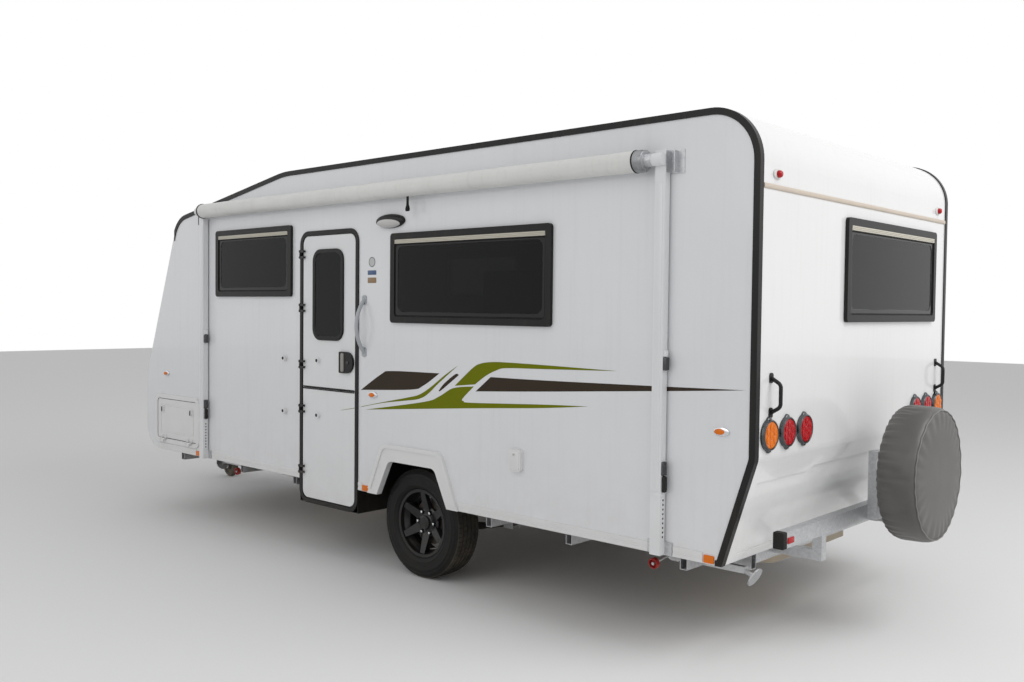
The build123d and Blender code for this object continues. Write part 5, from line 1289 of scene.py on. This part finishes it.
def woven(name, light, dark):
    """A woven cover in two shades of thread."""
    made, tree, shader = blank(name)
    threads = use(tree, plain_weave, {"Threads": 1400.0})
    shade = tint(tree, threads.outputs["Tone"], (*light, 1.0), (*dark, 1.0))
    tree.links.new(shade, shader.inputs["Base Color"])
    raised = node(tree, "Bump", {"Height": threads.outputs["Height"], "Strength": 0.4, "Distance": 0.001})
    tree.links.new(raised.outputs[0], shader.inputs["Normal"])
    shader.inputs["Roughness"].default_value = 0.9
    shader.inputs["Sheen Weight"].default_value = 0.25
    return made


seat_fabric = woven("seat_fabric", (0.30, 0.26, 0.22), (0.17, 0.15, 0.13))
mattress_ticking = woven("mattress_ticking", (0.62, 0.60, 0.56), (0.48, 0.46, 0.43))


def cushion(name, low, high, crown, material, thin):
    """A crowned pad inside a box, thin along one axis (0, 1 or 2), its sides pulled in between corners."""
    mesh = bmesh.new()
    bmesh.ops.create_cube(mesh, size=2.0)
    bmesh.ops.subdivide_edges(mesh, edges=mesh.edges, cuts=17, use_grid_fill=True)
    half = [(high[k] - low[k]) / 2 for k in range(3)]
    middle = [(high[k] + low[k]) / 2 for k in range(3)]
    wide = [k for k in range(3) if k != thin]
    for vert in mesh.verts:
        spot = list(vert.co)
        level = spot[thin]
        u, v = (spot[k] for k in wide)
        full = (1 - abs(u) ** 4) * (1 - abs(v) ** 4)
        rim = max(abs(u), abs(v))
        thick = 0.80 + 0.20 * full ** 0.35
        thick *= 1.0 - 0.22 * max(0.0, (rim - 0.93) / 0.07) ** 2
        pull = 1.0 - 0.030 * (1 - max(0.0, 1 - abs(level)) * 0.6)
        bulge = 1.0 + 0.02 * (1 - level * level)
        spot[thin] = level * thick
        for k, other in ((wide[0], v), (wide[1], u)):
            sag = 1.0 - crown * (1 - other * other) * abs(spot[k]) ** 6
            spot[k] *= sag * pull * bulge
        dimple = 0.004 * sin(5.0 * u + 1.0) * sin(4.0 * v + 0.5) * full
        vert.co = Vector(middle[k] + half[k] * max(-1.0, min(1.0, spot[k])) for k in range(3))
        vert.co[thin] -= abs(dimple) * (1 if level > 0 else -1) * (abs(level) > 0.99)
    made = piece(name, mesh, material, ROOT, sharp=180)
    return made


pad_low_y, pad_high_y, seat_low_z, back_low_z = 0.562, 1.162, 0.850, 0.950
seat_deep, seat_t, back_t, back_h = 0.480, 0.100, 0.090, 0.400
for label, seat_x, back_x in (("rear", -1.950, -1.950), ("front", -0.990, -0.600)):
    low, high = at(seat_x, pad_low_y, seat_low_z), at(seat_x + seat_deep, pad_high_y, seat_low_z + seat_t)
    cushion("seat_" + label, low, high, 0.02, seat_fabric, 2)
    low, high = at(back_x, pad_low_y, back_low_z), at(back_x + back_t, pad_high_y, back_low_z + back_h)
    cushion("back_" + label, low, high, 0.02, seat_fabric, 0)
mattress = cushion("mattress", at(1.480, -0.760, 0.940), at(3.040, 0.760, 1.060), 0.01, mattress_ticking, 2)
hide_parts("cushions")

# Studio: a pale floor that keeps the shadow, a white surround, a large soft lamp over the rear
# corner, a weaker one on the door side and an even pale sky.
floor_size = 60.0
mesh = bmesh.new()
bmesh.ops.create_grid(mesh, x_segments=2, y_segments=2, size=floor_size / 2)
floor_data = bpy.data.meshes.new("studio_floor")
mesh.to_mesh(floor_data)
mesh.free()
floor_paint, _, floor_shader = blank("studio_floor")
floor_shader.inputs["Base Color"].default_value = (0.8, 0.8, 0.8, 1.0)
floor_shader.inputs["Roughness"].default_value = 0.9
floor_data.materials.append(floor_paint)
studio_floor = bpy.data.objects.new("studio_floor", floor_data)
bpy.context.collection.objects.link(studio_floor)

world = bpy.data.worlds.new("studio")
world.use_nodes = True
bpy.context.scene.world = world
tree = world.node_tree
background = tree.nodes["Background"]
rays = node(tree, "LightPath").outputs
seen = calc(tree, "MAXIMUM", rays["Is Camera Ray"], rays["Is Glossy Ray"])
seen = calc(tree, "MAXIMUM", seen, rays["Is Transmission Ray"])
sky_level = 0.55
level = node(tree, "MapRange", {"Value": seen, "To Min": sky_level, "To Max": 1.0})
background.inputs["Color"].default_value = (1.0, 1.0, 1.0, 1.0)
tree.links.new(level.outputs[0], background.inputs["Strength"])


def soft_lamp(name, place, target, size, power):
    """A square area lamp aimed at a point."""
    data = bpy.data.lights.new(name, "AREA")
    data.shape = "SQUARE"
    data.size = size
    data.energy = power
    made = bpy.data.objects.new(name, data)
    made.location = place
    made.rotation_mode = "QUATERNION"
    made.rotation_quaternion = (Vector(target) - Vector(place)).to_track_quat("-Z", "Y")
    bpy.context.collection.objects.link(made)


soft_lamp("rear_key", (-9.0, -1.0, 7.0), (-1.0, 0.0, 1.0), 6.0, 420.0)
soft_lamp("door_side_fill", (-1.0, 9.0, 6.0), (0.0, 0.0, 1.0), 7.0, 120.0)

bpy.context.scene.view_settings.view_transform = "Standard"
